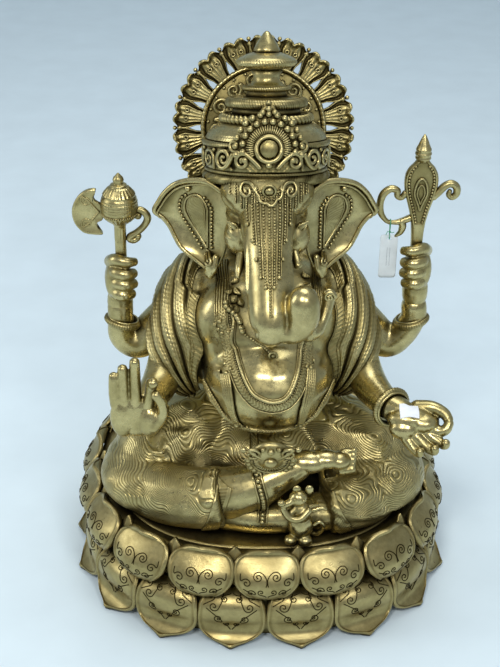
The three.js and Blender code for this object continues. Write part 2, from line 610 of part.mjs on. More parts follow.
fit('halo_screw_lower', haloScrew(HALO_SCREW_Z[1]), { finish: STEEL });
fit('halo_disc', haloDisc);
fit('halo_ring', haloRing);
for (const [name, side] of [['right', -1], ['left', 1]]) {
  fit(`${name}_ear`, ear(side));
  fit(`${name}_front_arm`, frontArm(side));
  fit(`${name}_front_hand`, side < 0 ? raisedHand : openHand);
  if (side > 0) fit(`${name}_front_bangle`, frontBangle);
}
fit('mace_shaft', maceShaft);
fit('mace_pot', macePot);
fit('goad_shaft', goadShaft);
fit('goad_paddle', goadPaddle);
for (const [name, side] of [['right', -1], ['left', 1]]) {
  fit(`${name}_rear_arm`, rearArm(side));
  fit(`${name}_rear_bangle`, rearBangle(side));
  fit(`${name}_shawl`, shawl(side));
  fit(`${name}_tassel`, tassel(side));
}
fit('mace_axe_blade', axeBlade);
fit('mace_scroll', maceScroll);
fit('goad_finial', goadFinial);
fit('goad_loop', goadLoop);
fit('goad_scroll', goadScroll);
fit('price_sticker', priceSticker, { finish: PAPER });
place('tag_thread', tagThread(), THREAD);
place('thread_knot', threadKnot(), THREAD);
place('hang_tag', hangTag(), PAPER);

export default statue;
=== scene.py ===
import math

import bpy
import numpy as np
from mathutils import Matrix, Vector
from mathutils.bvhtree import BVHTree


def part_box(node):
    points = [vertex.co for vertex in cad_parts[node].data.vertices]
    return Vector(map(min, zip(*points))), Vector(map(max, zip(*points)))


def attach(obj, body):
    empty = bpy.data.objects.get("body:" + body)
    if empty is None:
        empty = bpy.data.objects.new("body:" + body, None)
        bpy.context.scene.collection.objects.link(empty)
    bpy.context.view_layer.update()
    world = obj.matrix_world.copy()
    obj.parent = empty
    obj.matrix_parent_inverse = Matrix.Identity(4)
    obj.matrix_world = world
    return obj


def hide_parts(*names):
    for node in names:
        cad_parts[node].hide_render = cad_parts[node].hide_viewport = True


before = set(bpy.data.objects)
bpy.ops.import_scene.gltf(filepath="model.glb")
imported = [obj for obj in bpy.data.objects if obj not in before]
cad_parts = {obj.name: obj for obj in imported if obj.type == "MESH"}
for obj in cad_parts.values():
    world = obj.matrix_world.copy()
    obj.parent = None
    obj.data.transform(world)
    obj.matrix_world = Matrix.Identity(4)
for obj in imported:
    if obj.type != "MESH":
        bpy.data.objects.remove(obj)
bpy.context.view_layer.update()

MM = 0.001
TAU = 2 * math.pi


# ------------------------------------------------------------------ camera
CAMERA_DISTANCE = 1.30           # metres in front of the statue's axis
CAMERA_HEIGHT = 1.00
CAMERA_TARGET_HEIGHT = 0.2696
CAMERA_YAW = 0.0344              # radians
CAMERA_ROLL = -0.014
CAMERA_SIDE = -0.0146
LENS_LENGTH = 71.784108          # millimetres, for a picture 36 mm high
SENSOR = 36.0


def add_camera():
    """The photo's view: from above the lap, a little to the figure's right, with a slight roll."""
    cy, sy = math.cos(CAMERA_YAW), math.sin(CAMERA_YAW)
    eye = Vector((CAMERA_SIDE * cy - CAMERA_DISTANCE * sy,
                  -CAMERA_DISTANCE * cy - CAMERA_SIDE * sy, CAMERA_HEIGHT))
    target = Vector((CAMERA_SIDE * cy, -CAMERA_SIDE * sy, CAMERA_TARGET_HEIGHT))
    forward = (target - eye).normalized()
    right = forward.cross(Vector((0, 0, 1))).normalized()
    up = right.cross(forward)
    cr, sr = math.cos(CAMERA_ROLL), math.sin(CAMERA_ROLL)
    right, up = right * cr - up * sr, right * sr + up * cr
    data = bpy.data.cameras.new("camera")
    data.sensor_width = SENSOR
    data.lens = LENS_LENGTH
    data.clip_start, data.clip_end = 0.05, 20
    camera = bpy.data.objects.new("camera", data)
    turn = Matrix((right, up, -forward)).transposed().to_4x4()
    camera.matrix_world = Matrix.Translation(eye) @ turn
    bpy.context.scene.collection.objects.link(camera)
    bpy.context.scene.camera = camera


# ------------------------------------------------------------------ mesh arrays
class Mesh:
    """Points in millimetres, a patina depth for each, and faces in arrays of equal size."""

    def __init__(self, points=None, faces=None, relief=None):
        self.points = np.zeros((0, 3))
        self.relief = np.zeros(0)
        self.faces = []
        if points is not None:
            self.add(points, faces, relief)

    def add(self, points, faces, relief=None):
        points = np.asarray(points, float).reshape(-1, 3)
        start = len(self.points)
        self.points = np.vstack([self.points, points])
        relief = np.zeros(len(points)) if relief is None else np.asarray(relief, float).ravel()
        self.relief = np.concatenate([self.relief, relief])
        groups = faces if isinstance(faces, list) else [faces]
        self.faces += [np.asarray(g, int) + start for g in groups if len(g)]
        return self

    def join(self, *others):
        for other in others:
            self.add(other.points, other.faces, other.relief)
        return self

    def moved(self, offset=(0, 0, 0), turn=None):
        points = self.points if turn is None else self.points @ np.asarray(turn).T
        return Mesh(points + np.asarray(offset, float), self.faces, self.relief)

    def mirrored(self):
        return Mesh(self.points * (-1, 1, 1), [g[:, ::-1] for g in self.faces], self.relief)


def joined(*meshes):
    """Several meshes as one."""
    return Mesh().join(*meshes)


def blender_mesh(name, mesh):
    """Blender mesh data from a mesh in millimetres, with the patina depth as an attribute."""
    data = bpy.data.meshes.new(name)
    data.vertices.add(len(mesh.points))
    data.vertices.foreach_set("co", (mesh.points * MM).astype(np.float32).ravel())
    loops = np.concatenate([g.ravel() for g in mesh.faces]).astype(np.int32)
    sizes = np.concatenate([np.full(len(g), g.shape[1]) for g in mesh.faces])
    data.loops.add(len(loops))
    data.loops.foreach_set("vertex_index", loops)
    data.polygons.add(len(sizes))
    data.polygons.foreach_set("loop_start", np.concatenate([[0], np.cumsum(sizes)[:-1]]).astype(np.int32))
    data.update(calc_edges=True)
    data.validate()
    data.shade_smooth()
    relief = data.attributes.new("relief", "FLOAT", "POINT")
    relief.data.foreach_set("value", mesh.relief.astype(np.float32))
    return data


def grid_faces(rows, columns, wrap_rows=False, wrap_columns=False):
    """Quads between the points of a rows by columns grid, numbered row by row."""
    r = np.arange(rows if wrap_rows else rows - 1)
    c = np.arange(columns if wrap_columns else columns - 1)
    r, c = np.meshgrid(r, c, indexing="ij")
    r2, c2 = (r + 1) % rows, (c + 1) % columns
    return np.stack([r * columns + c, r * columns + c2, r2 * columns + c2, r2 * columns + c],
                    -1).reshape(-1, 4)


def unit(v):
    """Vectors scaled to a length of one."""
    return v / np.maximum(np.linalg.norm(v, axis=-1, keepdims=True), 1e-9)


def smoothstep(x, low=0.0, high=1.0):
    """A smooth rise from 0 to 1 as x goes from low to high."""
    t = np.clip((np.asarray(x, float) - low) / (high - low), 0, 1)
    return t * t * (3 - 2 * t)


def bump(x, centre, width):
    """A round bump of height 1 about a centre."""
    return np.exp(-(((x - centre) / width) ** 2))


def spline(knots, step):
    """Evenly spaced points on a smooth curve through the knots; columns past the third are carried along."""
    knots = np.asarray(knots, float)
    padded = np.vstack([2 * knots[0] - knots[1], knots, 2 * knots[-1] - knots[-2]])
    t = np.linspace(0, len(knots) - 1, 24 * (len(knots) - 1) + 1)
    i = np.minimum(t.astype(int), len(knots) - 2)
    f = (t - i)[:, None]
    a, b, c, d = padded[i], padded[i + 1], padded[i + 2], padded[i + 3]
    q = 0.5 * (2 * b + (c - a) * f + (2 * a - 5 * b + 4 * c - d) * f**2 + (3 * b - a - 3 * c + d) * f**3)
    return resample(q, step)


def resample(q, step):
    """The same line in even steps."""
    q = np.asarray(q, float)
    run = np.concatenate([[0], np.cumsum(np.linalg.norm(np.diff(q[:, :3], axis=0), axis=1))])
    even = np.linspace(0, run[-1], max(3, int(round(run[-1] / step)) + 1))
    return np.stack([np.interp(even, run, q[:, k]) for k in range(q.shape[1])], 1)


def frames(path, up=(0, 0, 1)):
    """Tangents, sides and normals along a path, carried without twist from the up direction."""
    tangent = unit(np.gradient(path, axis=0))
    normal = np.zeros_like(path)
    n = np.asarray(up, float)
    for i, t in enumerate(tangent):
        n = n - t * n.dot(t)
        size = np.linalg.norm(n)
        if size < 1e-6:
            n = np.cross(t, (1.0, 0.3, 0.2))
            size = np.linalg.norm(n)
        n = n / size
        normal[i] = n
    return tangent, np.cross(tangent, normal), normal


DOME = np.sin(np.linspace(0, math.pi / 2, 5))[:-1]


def tube(path, radii, sides=16, up=(0, 0, 1), flat=1.0, dome=0.8, surface=None):
    """A round or flattened bar of changing radius with domed ends. flat scales it along its normal;
    surface(angle, run) adds to the radius."""
    path = np.asarray(path, float)[:, :3]
    radii = np.broadcast_to(np.asarray(radii, float), (len(path),))
    tangent, side, normal = frames(path, up)
    lead = np.sqrt(1 - DOME[::-1] ** 2)[::-1]
    first = path[0] - tangent[0] * (radii[0] * dome * lead)[:, None]
    last = path[-1] + tangent[-1] * (radii[-1] * dome * lead[::-1])[:, None]
    centre = np.vstack([first, path, last])
    size = np.concatenate(
        [radii[0] * np.maximum(DOME, 0.02), radii, radii[-1] * np.maximum(DOME[::-1], 0.02)])
    k = len(DOME)
    side = np.vstack([np.repeat(side[:1], k, 0), side, np.repeat(side[-1:], k, 0)])
    normal = np.vstack([np.repeat(normal[:1], k, 0), normal, np.repeat(normal[-1:], k, 0)])
    angle = circle_of(sides)
    reach = np.repeat(size[:, None], sides, 1)
    if surface is not None:
        run = np.concatenate([[0], np.cumsum(np.linalg.norm(np.diff(centre, axis=0), axis=1))])
        reach = reach + surface(angle[None, :], run[:, None]) * np.minimum(1, reach / radii.max())
    points = (centre[:, None] + reach[..., None] * (np.cos(angle)[None, :, None] * side[:, None]
              + flat * np.sin(angle)[None, :, None] * normal[:, None]))
    rows = len(centre)
    faces = grid_faces(rows, sides, wrap_columns=True)
    cap_a = np.arange(sides)[None, ::-1]
    cap_b = ((rows - 1) * sides + np.arange(sides))[None, :]
    return Mesh(points, [faces[:, ::-1], cap_a[:, ::-1], cap_b[:, ::-1]])


def ball(centre, radii, around=24):
    up = around // 2
    lat = np.linspace(-math.pi / 2, math.pi / 2, up + 1)[1:-1]
    lon = circle_of(around)
    body = np.stack([np.cos(lat)[:, None] * np.cos(lon), np.cos(lat)[:, None] * np.sin(lon),
                     np.repeat(np.sin(lat)[:, None], around, 1)], -1).reshape(-1, 3)
    points = np.vstack([body, [[0, 0, -1]], [[0, 0, 1]]]) * np.asarray(radii, float)
    rows = up - 1
    i = np.arange(around)
    south, north = rows * around, rows * around + 1
    low = np.stack([np.full(around, south), (i + 1) % around, i], 1)
    top = (rows - 1) * around
    high = np.stack([top + i, top + (i + 1) % around, np.full(around, north)], 1)
    return Mesh(points + np.asarray(centre, float), [grid_faces(rows, around, wrap_columns=True), low, high])


def beads(centres, radii, around=8):
    """A small ball at each centre."""
    centres = np.asarray(centres, float).reshape(-1, 3)
    radii = np.broadcast_to(np.asarray(radii, float), (len(centres),))
    one = ball((0, 0, 0), (1, 1, 1), around=around)
    points = (centres[:, None] + radii[:, None, None] * one.points[None]).reshape(-1, 3)
    shift = (np.arange(len(centres)) * len(one.points))[:, None, None]
    faces = [(g[None] + shift).reshape(-1, g.shape[1]) for g in one.faces]
    return Mesh(points, faces, np.zeros(len(points)))


def turned(profile, axis_x=0.0, axis_y=0.0, around=96, shape=None):
    """A solid of revolution from [radius, z] rows; shape(angle, radius, z) may change the radius."""
    profile = np.asarray(profile, float)
    angle = circle_of(around)
    radius = np.repeat(profile[:, :1], around, 1)
    z = np.repeat(profile[:, 1:2], around, 1)
    if shape is not None:
        radius = shape(angle[None, :], radius, z)
    points = np.stack([axis_x + radius * np.sin(angle), axis_y - radius * np.cos(angle), z], -1)
    rows = len(profile)
    caps = [np.arange(around)[None, ::-1], ((rows - 1) * around + np.arange(around))[None, :]]
    return Mesh(points, [grid_faces(rows, around, wrap_columns=True)] + caps)


def shell(outer, thickness, inward, relief=None):
    """A closed sheet from a grid of outer points, its back set off along the inward directions."""
    rows, columns = outer.shape[:2]
    inner = outer + inward * thickness
    n = rows * columns
    front = grid_faces(rows, columns)
    edge = np.concatenate([np.arange(columns), np.arange(1, rows) * columns + columns - 1,
                           (rows - 1) * columns + np.arange(columns - 2, -1, -1),
                           np.arange(rows - 2, 0, -1) * columns])
    nxt = np.roll(edge, -1)
    wall = np.stack([edge, nxt, nxt + n, edge + n], 1)
    relief = np.zeros(n) if relief is None else np.asarray(relief).ravel()
    return Mesh(np.concatenate([outer.reshape(-1, 3), inner.reshape(-1, 3)]),
                [front[:, ::-1], front + n, wall], np.concatenate([relief, np.zeros(n)]))


def spiral(cx, cy, radius, turns, start, way=1, lead=None, step=0.5):
    """A scroll that winds in to its eye, after an optional lead-in point."""
    n = max(24, int(turns * TAU * radius / step))
    t = np.linspace(0, 1, n)
    angle = start + way * turns * TAU * t
    r = radius * (1 - 0.85 * t)
    line = np.stack([cx + r * np.cos(angle), cy + r * np.sin(angle)], 1)
    if lead is not None:
        first = line[0]
        tangent = unit(line[0] - line[1])
        lead = np.asarray(lead, float)
        reach = np.linalg.norm(lead - first) * 0.6
        s = np.linspace(0, 1, max(6, int(np.linalg.norm(lead - first) / step)))[:, None]
        bend = first + tangent * reach
        curve = (1 - s) ** 2 * lead + 2 * s * (1 - s) * bend + s**2 * first
        line = np.vstack([curve[:-1], line])
    return line


def in_plane(line, y):
    """Drawn [x, z] rows as places at one depth y."""
    return np.column_stack([line[:, 0], np.full(len(line), y), line[:, 1]])


def circle_of(count):
    """Angles evenly spaced round a circle."""
    return np.arange(count) * TAU / count


def mirrored_lines(lines):
    """The lines and their mirror images."""
    return lines + [line * (-1, 1) for line in lines]


# ------------------------------------------------------------------ sculpting
def sculpt(parts, voxel, smooth):
    """Overlapping solids melted into one even skin of small quads."""
    data = blender_mesh("sculpt", joined(*parts))
    obj = bpy.data.objects.new("sculpt", data)
    bpy.context.scene.collection.objects.link(obj)
    remesh = obj.modifiers.new("remesh", "REMESH")
    remesh.mode = "VOXEL"
    remesh.voxel_size = voxel * MM
    remesh.use_smooth_shade = True
    if smooth:
        soften = obj.modifiers.new("soften", "SMOOTH")
        soften.factor = 0.5
        soften.iterations = smooth
    result = obj.evaluated_get(bpy.context.evaluated_depsgraph_get()).to_mesh()
    points = np.zeros(len(result.vertices) * 3, np.float32)
    result.vertices.foreach_get("co", points)
    corners = np.zeros(len(result.loops), np.int32)
    result.loops.foreach_get("vertex_index", corners)
    points = points.reshape(-1, 3).astype(float) / MM
    bpy.data.objects.remove(obj)
    bpy.data.meshes.remove(data)
    return Mesh(points, corners.reshape(-1, 4))


def normals(mesh):
    """The outward direction at each point."""
    total = np.zeros_like(mesh.points)
    for group in mesh.faces:
        a, b, c = (mesh.points[group[:, k]] for k in (0, 1, 2))
        face = np.cross(b - a, c - a)
        if group.shape[1] == 4:
            d = mesh.points[group[:, 3]]
            face = np.cross(c - a, d - b)
        for k in range(group.shape[1]):
            for axis in range(3):
                total[:, axis] += np.bincount(group[:, k], face[:, axis], len(total))
    return unit(total)


def push(mesh, amount, relief=None):
    """Moves a skin along its normals; dents deepen the patina."""
    mesh.points = mesh.points + normals(mesh) * np.asarray(amount)[:, None]
    if relief is not None:
        mesh.relief = np.clip(mesh.relief + relief, 0, 1)
    return mesh


class Skin:
    """A surface that ornaments are laid on."""

    def __init__(self, *meshes):
        whole = joined(*meshes)
        faces = [row for g in whole.faces for row in g.tolist()]
        self.tree = BVHTree.FromPolygons(whole.points.tolist(), faces)

    def cast(self, origin, direction, fallback):
        place, normal, _, _ = self.tree.ray_cast(Vector(origin), Vector(direction).normalized())
        if place is None:
            place, normal, _, _ = self.tree.find_nearest(Vector(fallback))
        if normal.dot(Vector(direction)) > 0:
            normal = -normal
        return np.array(place), np.array(normal)

    def lay(self, points, way=(0, 1, 0), lift=0.0):
        """Points dropped on the surface along a direction; returns the places and the outward normals."""
        points = np.asarray(points, float)
        way = np.asarray(way, float)
        hits = [self.cast(p - way * 400, way, p) for p in points.reshape(-1, 3)]
        place = np.array([h[0] for h in hits])
        normal = np.array([h[1] for h in hits])
        return (place + normal * lift).reshape(points.shape), normal.reshape(points.shape)

    def found(self, points, lift=0.0):
        """The laid points, without those that lie beside the surface."""
        place, _ = self.lay(points, lift=0.0)
        keep = np.abs((place - points)[:, [0, 2]]).max(1) < 1.0
        return self.lay(points[keep], lift=lift)[0] if keep.any() else place[:0]

    def near(self, points, lift=0.0):
        points = np.asarray(points, float)
        found = [self.tree.find_nearest(Vector(p)) for p in points.reshape(-1, 3)]
        place = np.array([f[0] for f in found])
        normal = np.array([f[1] for f in found])
        return (place + normal * lift).reshape(points.shape), normal.reshape(points.shape)


# ------------------------------------------------------------------ materials
def node(tree, kind, **settings):
    """A shader node with its inputs set by name."""
    made = tree.nodes.new(kind)
    for name, value in settings.items():
        if name in made.inputs:
            made.inputs[name].default_value = value
        else:
            setattr(made, name, value)
    return made


def brass(name, bright=(0.58, 0.485, 0.225), mid=(0.31, 0.25, 0.095), dark=(0.036, 0.026, 0.008), polish=0.26,
          grain=0.12, chasing=0.0):
    """Cast brass: polished where it stands out, brown patina where it lies deep, with faint tarnish and
    casting grain. Its colour also carries painted shade: an ambient-occlusion node darkens it in crevices,
    under parts and in the gaps between pieces."""
    material = bpy.data.materials.new(name)
    material.use_nodes = True
    tree = material.node_tree
    link = tree.links.new
    shader = tree.nodes["Principled BSDF"]
    shader.inputs["Metallic"].default_value = 1.0
    place = node(tree, "ShaderNodeTexCoord").outputs["Object"]
    tarnish = node(tree, "ShaderNodeTexNoise", Scale=38.0, Detail=5.0, Roughness=0.62)
    mottle = node(tree, "ShaderNodeTexNoise", Scale=210.0, Detail=4.0, Roughness=0.6)
    casting = node(tree, "ShaderNodeTexNoise", Scale=900.0, Detail=3.0, Roughness=0.6)
    for texture in (tarnish, mottle, casting):
        link(place, texture.inputs["Vector"])
    # Painted shade: ambient occlusion darkens the colour where parts crowd together, in crevices and in the
    # gaps between separate pieces.
    painted_shade_ao = node(tree, "ShaderNodeAmbientOcclusion", samples=4, Distance=0.012)
    painted_light_amount = node(tree, "ShaderNodeMapRange", **{"From Min": 0.30, "From Max": 0.92})
    link(painted_shade_ao.outputs["AO"], painted_light_amount.inputs["Value"])
    relief = node(tree, "ShaderNodeAttribute", attribute_name="relief")
    # The painted light from the occlusion, less the patina depth from the relief attribute.
    clear = node(tree, "ShaderNodeMath", operation="SUBTRACT", use_clamp=True)
    link(painted_light_amount.outputs["Result"], clear.inputs[0])
    link(relief.outputs["Fac"], clear.inputs[1])
    uneven = node(tree, "ShaderNodeMapRange",
                  **{"From Min": 0.3, "From Max": 0.7, "To Min": 0.62, "To Max": 1.12})
    link(tarnish.outputs["Fac"], uneven.inputs["Value"])
    # The level that picks the colour and the roughness: painted light and patina from above, times random
    # tarnish.
    polish_and_painted_light = node(tree, "ShaderNodeMath", operation="MULTIPLY", use_clamp=True)
    link(clear.outputs[0], polish_and_painted_light.inputs[0])
    link(uneven.outputs["Result"], polish_and_painted_light.inputs[1])
    colour = node(tree, "ShaderNodeValToRGB")
    ramp = colour.color_ramp
    ramp.elements[0].position, ramp.elements[0].color = 0.0, (*dark, 1)
    ramp.elements[1].position, ramp.elements[1].color = 1.0, (*bright, 1)
    middle = ramp.elements.new(0.45)
    middle.color = (*mid, 1)
    link(polish_and_painted_light.outputs[0], colour.inputs["Fac"])
    speck = node(tree, "ShaderNodeMapRange",
                 **{"From Min": 0.35, "From Max": 0.75, "To Min": 0.86, "To Max": 1.06})
    link(mottle.outputs["Fac"], speck.inputs["Value"])
    tint = node(tree, "ShaderNodeVectorMath", operation="SCALE")
    link(colour.outputs["Color"], tint.inputs[0])
    link(speck.outputs["Result"], tint.inputs["Scale"])
    link(tint.outputs["Vector"], shader.inputs["Base Color"])
    rough = node(tree, "ShaderNodeMapRange", **{"To Min": polish + 0.30, "To Max": polish})
    link(polish_and_painted_light.outputs[0], rough.inputs["Value"])
    scuff = node(tree, "ShaderNodeMapRange",
                 **{"From Min": 0.3, "From Max": 0.7, "To Min": -0.05, "To Max": 0.08})
    link(mottle.outputs["Fac"], scuff.inputs["Value"])
    both = node(tree, "ShaderNodeMath", operation="ADD")
    link(rough.outputs["Result"], both.inputs[0])
    link(scuff.outputs["Result"], both.inputs[1])
    link(both.outputs[0], shader.inputs["Roughness"])
    raised = node(tree, "ShaderNodeBump", Strength=grain, Distance=0.0006)
    link(casting.outputs["Fac"], raised.inputs["Height"])
    link(raised.outputs["Normal"], shader.inputs["Normal"])
    if chasing:
        chase(tree, place, polish_and_painted_light, colour, raised, chasing)
    return material


def chase(tree, place, polish_and_painted_light, colour, raised, depth):
    """Engraved lines that flow along the cloth and swirl a little, cut in and dark."""
    link = tree.links.new
    cloud = node(tree, "ShaderNodeTexNoise", Scale=17.0, Detail=1.2, Roughness=0.45)
    link(place, cloud.inputs["Vector"])
    across = node(tree, "ShaderNodeVectorMath", operation="DOT_PRODUCT")
    across.inputs[1].default_value = (540.0, -1480.0, 2750.0)
    link(place, across.inputs[0])
    swirl = node(tree, "ShaderNodeMath", operation="MULTIPLY_ADD")
    swirl.inputs[1].default_value = 200.0
    link(cloud.outputs["Fac"], swirl.inputs[0])
    link(across.outputs["Value"], swirl.inputs[2])
    wave = node(tree, "ShaderNodeMath", operation="SINE")
    link(swirl.outputs[0], wave.inputs[0])
    lines = node(tree, "ShaderNodeMapRange", **{"From Min": -1.0, "From Max": 0.2})
    link(wave.outputs[0], lines.inputs["Value"])
    cut_in = node(tree, "ShaderNodeBump", Strength=depth, Distance=0.0005)
    link(lines.outputs["Result"], cut_in.inputs["Height"])
    link(raised.outputs["Normal"], cut_in.inputs["Normal"])
    link(cut_in.outputs["Normal"], tree.nodes["Principled BSDF"].inputs["Normal"])
    depth_shade = node(tree, "ShaderNodeMapRange", **{"To Min": 0.5, "To Max": 1.0})
    link(lines.outputs["Result"], depth_shade.inputs["Value"])
    darker = node(tree, "ShaderNodeMath", operation="MULTIPLY")
    link(polish_and_painted_light.outputs[0], darker.inputs[0])
    link(depth_shade.outputs["Result"], darker.inputs[1])
    link(darker.outputs[0], colour.inputs["Fac"])


def plain(name, colour, roughness, metallic=0.0, grain_scale=400.0, grain=0.2, spread=0.12):
    """A simple surface whose colour and roughness vary a little, with a fine bump."""
    material = bpy.data.materials.new(name)
    material.use_nodes = True
    tree = material.node_tree
    link = tree.links.new
    shader = tree.nodes["Principled BSDF"]
    shader.inputs["Metallic"].default_value = metallic
    place = node(tree, "ShaderNodeTexCoord").outputs["Object"]
    cloud = node(tree, "ShaderNodeTexNoise", Scale=grain_scale * 0.2, Detail=4.0)
    fine = node(tree, "ShaderNodeTexNoise", Scale=grain_scale, Detail=3.0)
    link(place, cloud.inputs["Vector"])
    link(place, fine.inputs["Vector"])
    colours = node(tree, "ShaderNodeValToRGB")
    low = [c * (1 - spread) for c in colour]
    colours.color_ramp.elements[0].position, colours.color_ramp.elements[0].color = 0.3, (*low, 1)
    colours.color_ramp.elements[1].position, colours.color_ramp.elements[1].color = 0.7, (*colour, 1)
    link(cloud.outputs["Fac"], colours.inputs["Fac"])
    link(colours.outputs["Color"], shader.inputs["Base Color"])
    rough = node(tree, "ShaderNodeMapRange", **{"To Min": roughness - 0.08, "To Max": roughness + 0.08})
    link(fine.outputs["Fac"], rough.inputs["Value"])
    link(rough.outputs["Result"], shader.inputs["Roughness"])
    raised = node(tree, "ShaderNodeBump", Strength=grain, Distance=0.0004)
    link(fine.outputs["Fac"], raised.inputs["Height"])
    link(raised.outputs["Normal"], shader.inputs["Normal"])
    return material


BRASS = brass("cast_brass")
BASE_BRASS = brass("base_brass", bright=(0.46, 0.375, 0.165), mid=(0.27, 0.21, 0.08), polish=0.30, grain=0.2)
CLOTH_BRASS = brass("chased_brass", polish=0.28, grain=0.25, chasing=0.9)
PLEAT_BRASS = brass("pleated_brass", polish=0.28, grain=0.3)
SKIN_BRASS = brass("polished_brass", polish=0.24, grain=0.05)
STEEL = plain("zinc_steel", (0.55, 0.56, 0.57), 0.42, metallic=1.0)
CARD = plain("tag_card", (0.84, 0.89, 0.90), 0.55)
LABEL = plain("label_paper", (0.88, 0.91, 0.93), 0.7)
COTTON = plain("green_cotton", (0.10, 0.40, 0.22), 0.9, grain_scale=2500.0, grain=0.6)


def piece(name, mesh, material, nodes, body="statue"):
    """A finished mesh that stands for CAD nodes, on their body and with their finish."""
    obj = bpy.data.objects.new(name, blender_mesh(name, mesh))
    bpy.context.scene.collection.objects.link(obj)
    obj.data.materials.append(material)
    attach(obj, body)
    if nodes:
        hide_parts(*([nodes] if isinstance(nodes, str) else nodes))
    return obj


# ------------------------------------------------------------------ lotus base
PETALS = 18
PLAN_EXPONENT = 2.4
BASE_LOW, BASE_HIGH = (np.array(v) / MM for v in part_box("lotus_lower_tier"))
UPPER_LOW, UPPER_HIGH = (np.array(v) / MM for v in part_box("lotus_upper_tier"))
BASE_R = BASE_HIGH[0]
UPPER_R = -UPPER_LOW[1]
SEAT_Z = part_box("seat_plate")[1][2] / MM


def plan_place(angle, radius):
    """Point, outward normal and sideways direction of the rounded-square plan at an angle from the front."""
    def at(a):
        s, c = math.sin(a), math.cos(a)
        k = (abs(s) ** PLAN_EXPONENT + abs(c) ** PLAN_EXPONENT) ** (-1 / PLAN_EXPONENT)
        return np.array([radius * k * s, -radius * k * c, 0.0])
    along = unit(at(angle + 1e-3) - at(angle - 1e-3))
    return at(angle), np.array([along[1], -along[0], 0.0]), along


def petal(profile, widths, crown, rim, thickness, size=66):
    """One petal at the front.

    Profile rows are [way along, radius, z] and widths rows [way along, half width];
    crown(way along) is how far its middle swells, and rim the height of its raised edge.
    Returns the grid of outer points, the directions to its back, and the patina depth."""
    profile, widths = np.asarray(profile, float), np.asarray(widths, float)
    line = spline(np.column_stack([profile[:, 1], profile[:, 2], np.zeros(len(profile)), profile[:, 0]]), 0.5)
    t = np.linspace(0, 1, size)
    radius = np.interp(t, line[:, 3], line[:, 0])
    z = np.interp(t, line[:, 3], line[:, 1])
    smooth_width = spline(np.column_stack([widths, np.zeros(len(widths))]), 0.01)
    half = np.interp(t, smooth_width[:, 0], smooth_width[:, 1])
    run = np.concatenate([[0], np.cumsum(np.hypot(np.diff(radius), np.diff(z)))])
    u = np.sin(np.linspace(-1, 1, size) * math.pi / 2 * 0.86) / math.sin(math.pi / 2 * 0.86)
    x = half[:, None] * u[None]
    slope = unit(np.stack([np.gradient(radius), np.gradient(z)], 1))
    way = 1 if profile[-1, 2] > profile[0, 2] else -1
    out_r, out_z = way * slope[:, 1], -way * slope[:, 0]
    edge = np.minimum((1 - np.abs(u))[None] * np.maximum(half, 1)[:, None], (run[-1] - run)[:, None] * 1.2)
    height = crown(t)[:, None] * (1 - np.abs(u[None]) ** 2.2) + rim * bump(edge, 2.2, 1.5)
    radius_grid = radius[:, None] + height * out_r[:, None] - x**2 / (2 * 260)
    z_grid = z[:, None] + height * out_z[:, None]
    relief = 0.35 * bump(edge, 4.6, 1.5) * (edge > 2.2)
    inward = np.stack(
        [np.zeros_like(x), np.repeat(-out_r[:, None], size, 1), np.repeat(-out_z[:, None], size, 1)], -1)
    return np.stack([x, radius_grid, z_grid], -1), inward * thickness, relief


def petal_ring(made, base_radius, offset):
    """Copies of a petal all round the plan."""
    grid, inward, relief = made
    result = Mesh()
    for k in range(PETALS):
        angle = (k + offset) * TAU / PETALS
        centre, normal, along = plan_place(angle, base_radius)
        turn = np.stack([along, normal, [0, 0, 1]])
        points = (grid - [0, base_radius, 0]) @ turn + centre
        result.join(shell(points, 1.0, inward @ turn, relief))
    return result


def plan_ring(profile, around=192):
    """A ring that follows the base's plan, from a closed loop of [radius, z] rows."""
    profile = np.asarray(profile, float)
    angle = circle_of(around)
    s, c = np.sin(angle), np.cos(angle)
    k = (np.abs(s) ** PLAN_EXPONENT + np.abs(c) ** PLAN_EXPONENT) ** (-1 / PLAN_EXPONENT)
    radius = profile[:, :1] * k[None]
    points = np.stack([radius * s, -radius * c, np.repeat(profile[:, 1:2], around, 1)], -1)
    return Mesh(points, grid_faces(len(profile), around, wrap_rows=True, wrap_columns=True))


def engraved(made, lines, radius=0.55):
    """Dark cut lines laid on a petal: rows of [sideways, way down the petal]."""
    grid, _, _ = made
    middle = grid[:, grid.shape[1] // 2]
    run = np.concatenate([[0], np.cumsum(np.hypot(np.diff(middle[:, 1]), np.diff(middle[:, 2])))])
    cuts = []
    for line in lines:
        line = resample(np.asarray(line, float), 0.9)
        row = np.interp(line[:, 1], run, np.arange(len(run)))
        places = []
        for way, across in zip(row, line[:, 0]):
            k = int(min(way, len(run) - 2))
            part = way - k
            strip = grid[k] * (1 - part) + grid[k + 1] * part
            if abs(across) > 0.93 * strip[-1, 0]:
                continue
            places.append([np.interp(across, strip[:, 0], strip[:, c]) for c in range(3)])
        if len(places) > 3:
            cut = tube(np.array(places), radius, 6)
            cut.relief[:] = 1.0
            cuts.append(cut)
    return joined(*cuts)


def ring_of(mesh, base_radius, offset):
    """Copies of a mesh made at the front, all round the plan."""
    result = Mesh()
    at_origin = Mesh(mesh.points - (0, base_radius, 0), [g[:, ::-1] for g in mesh.faces], mesh.relief)
    for k in range(PETALS):
        centre, normal, along = plan_place((k + offset) * TAU / PETALS, base_radius)
        result.join(at_origin.moved(centre, np.stack([along, normal, [0, 0, 1]], 1)))
    return result


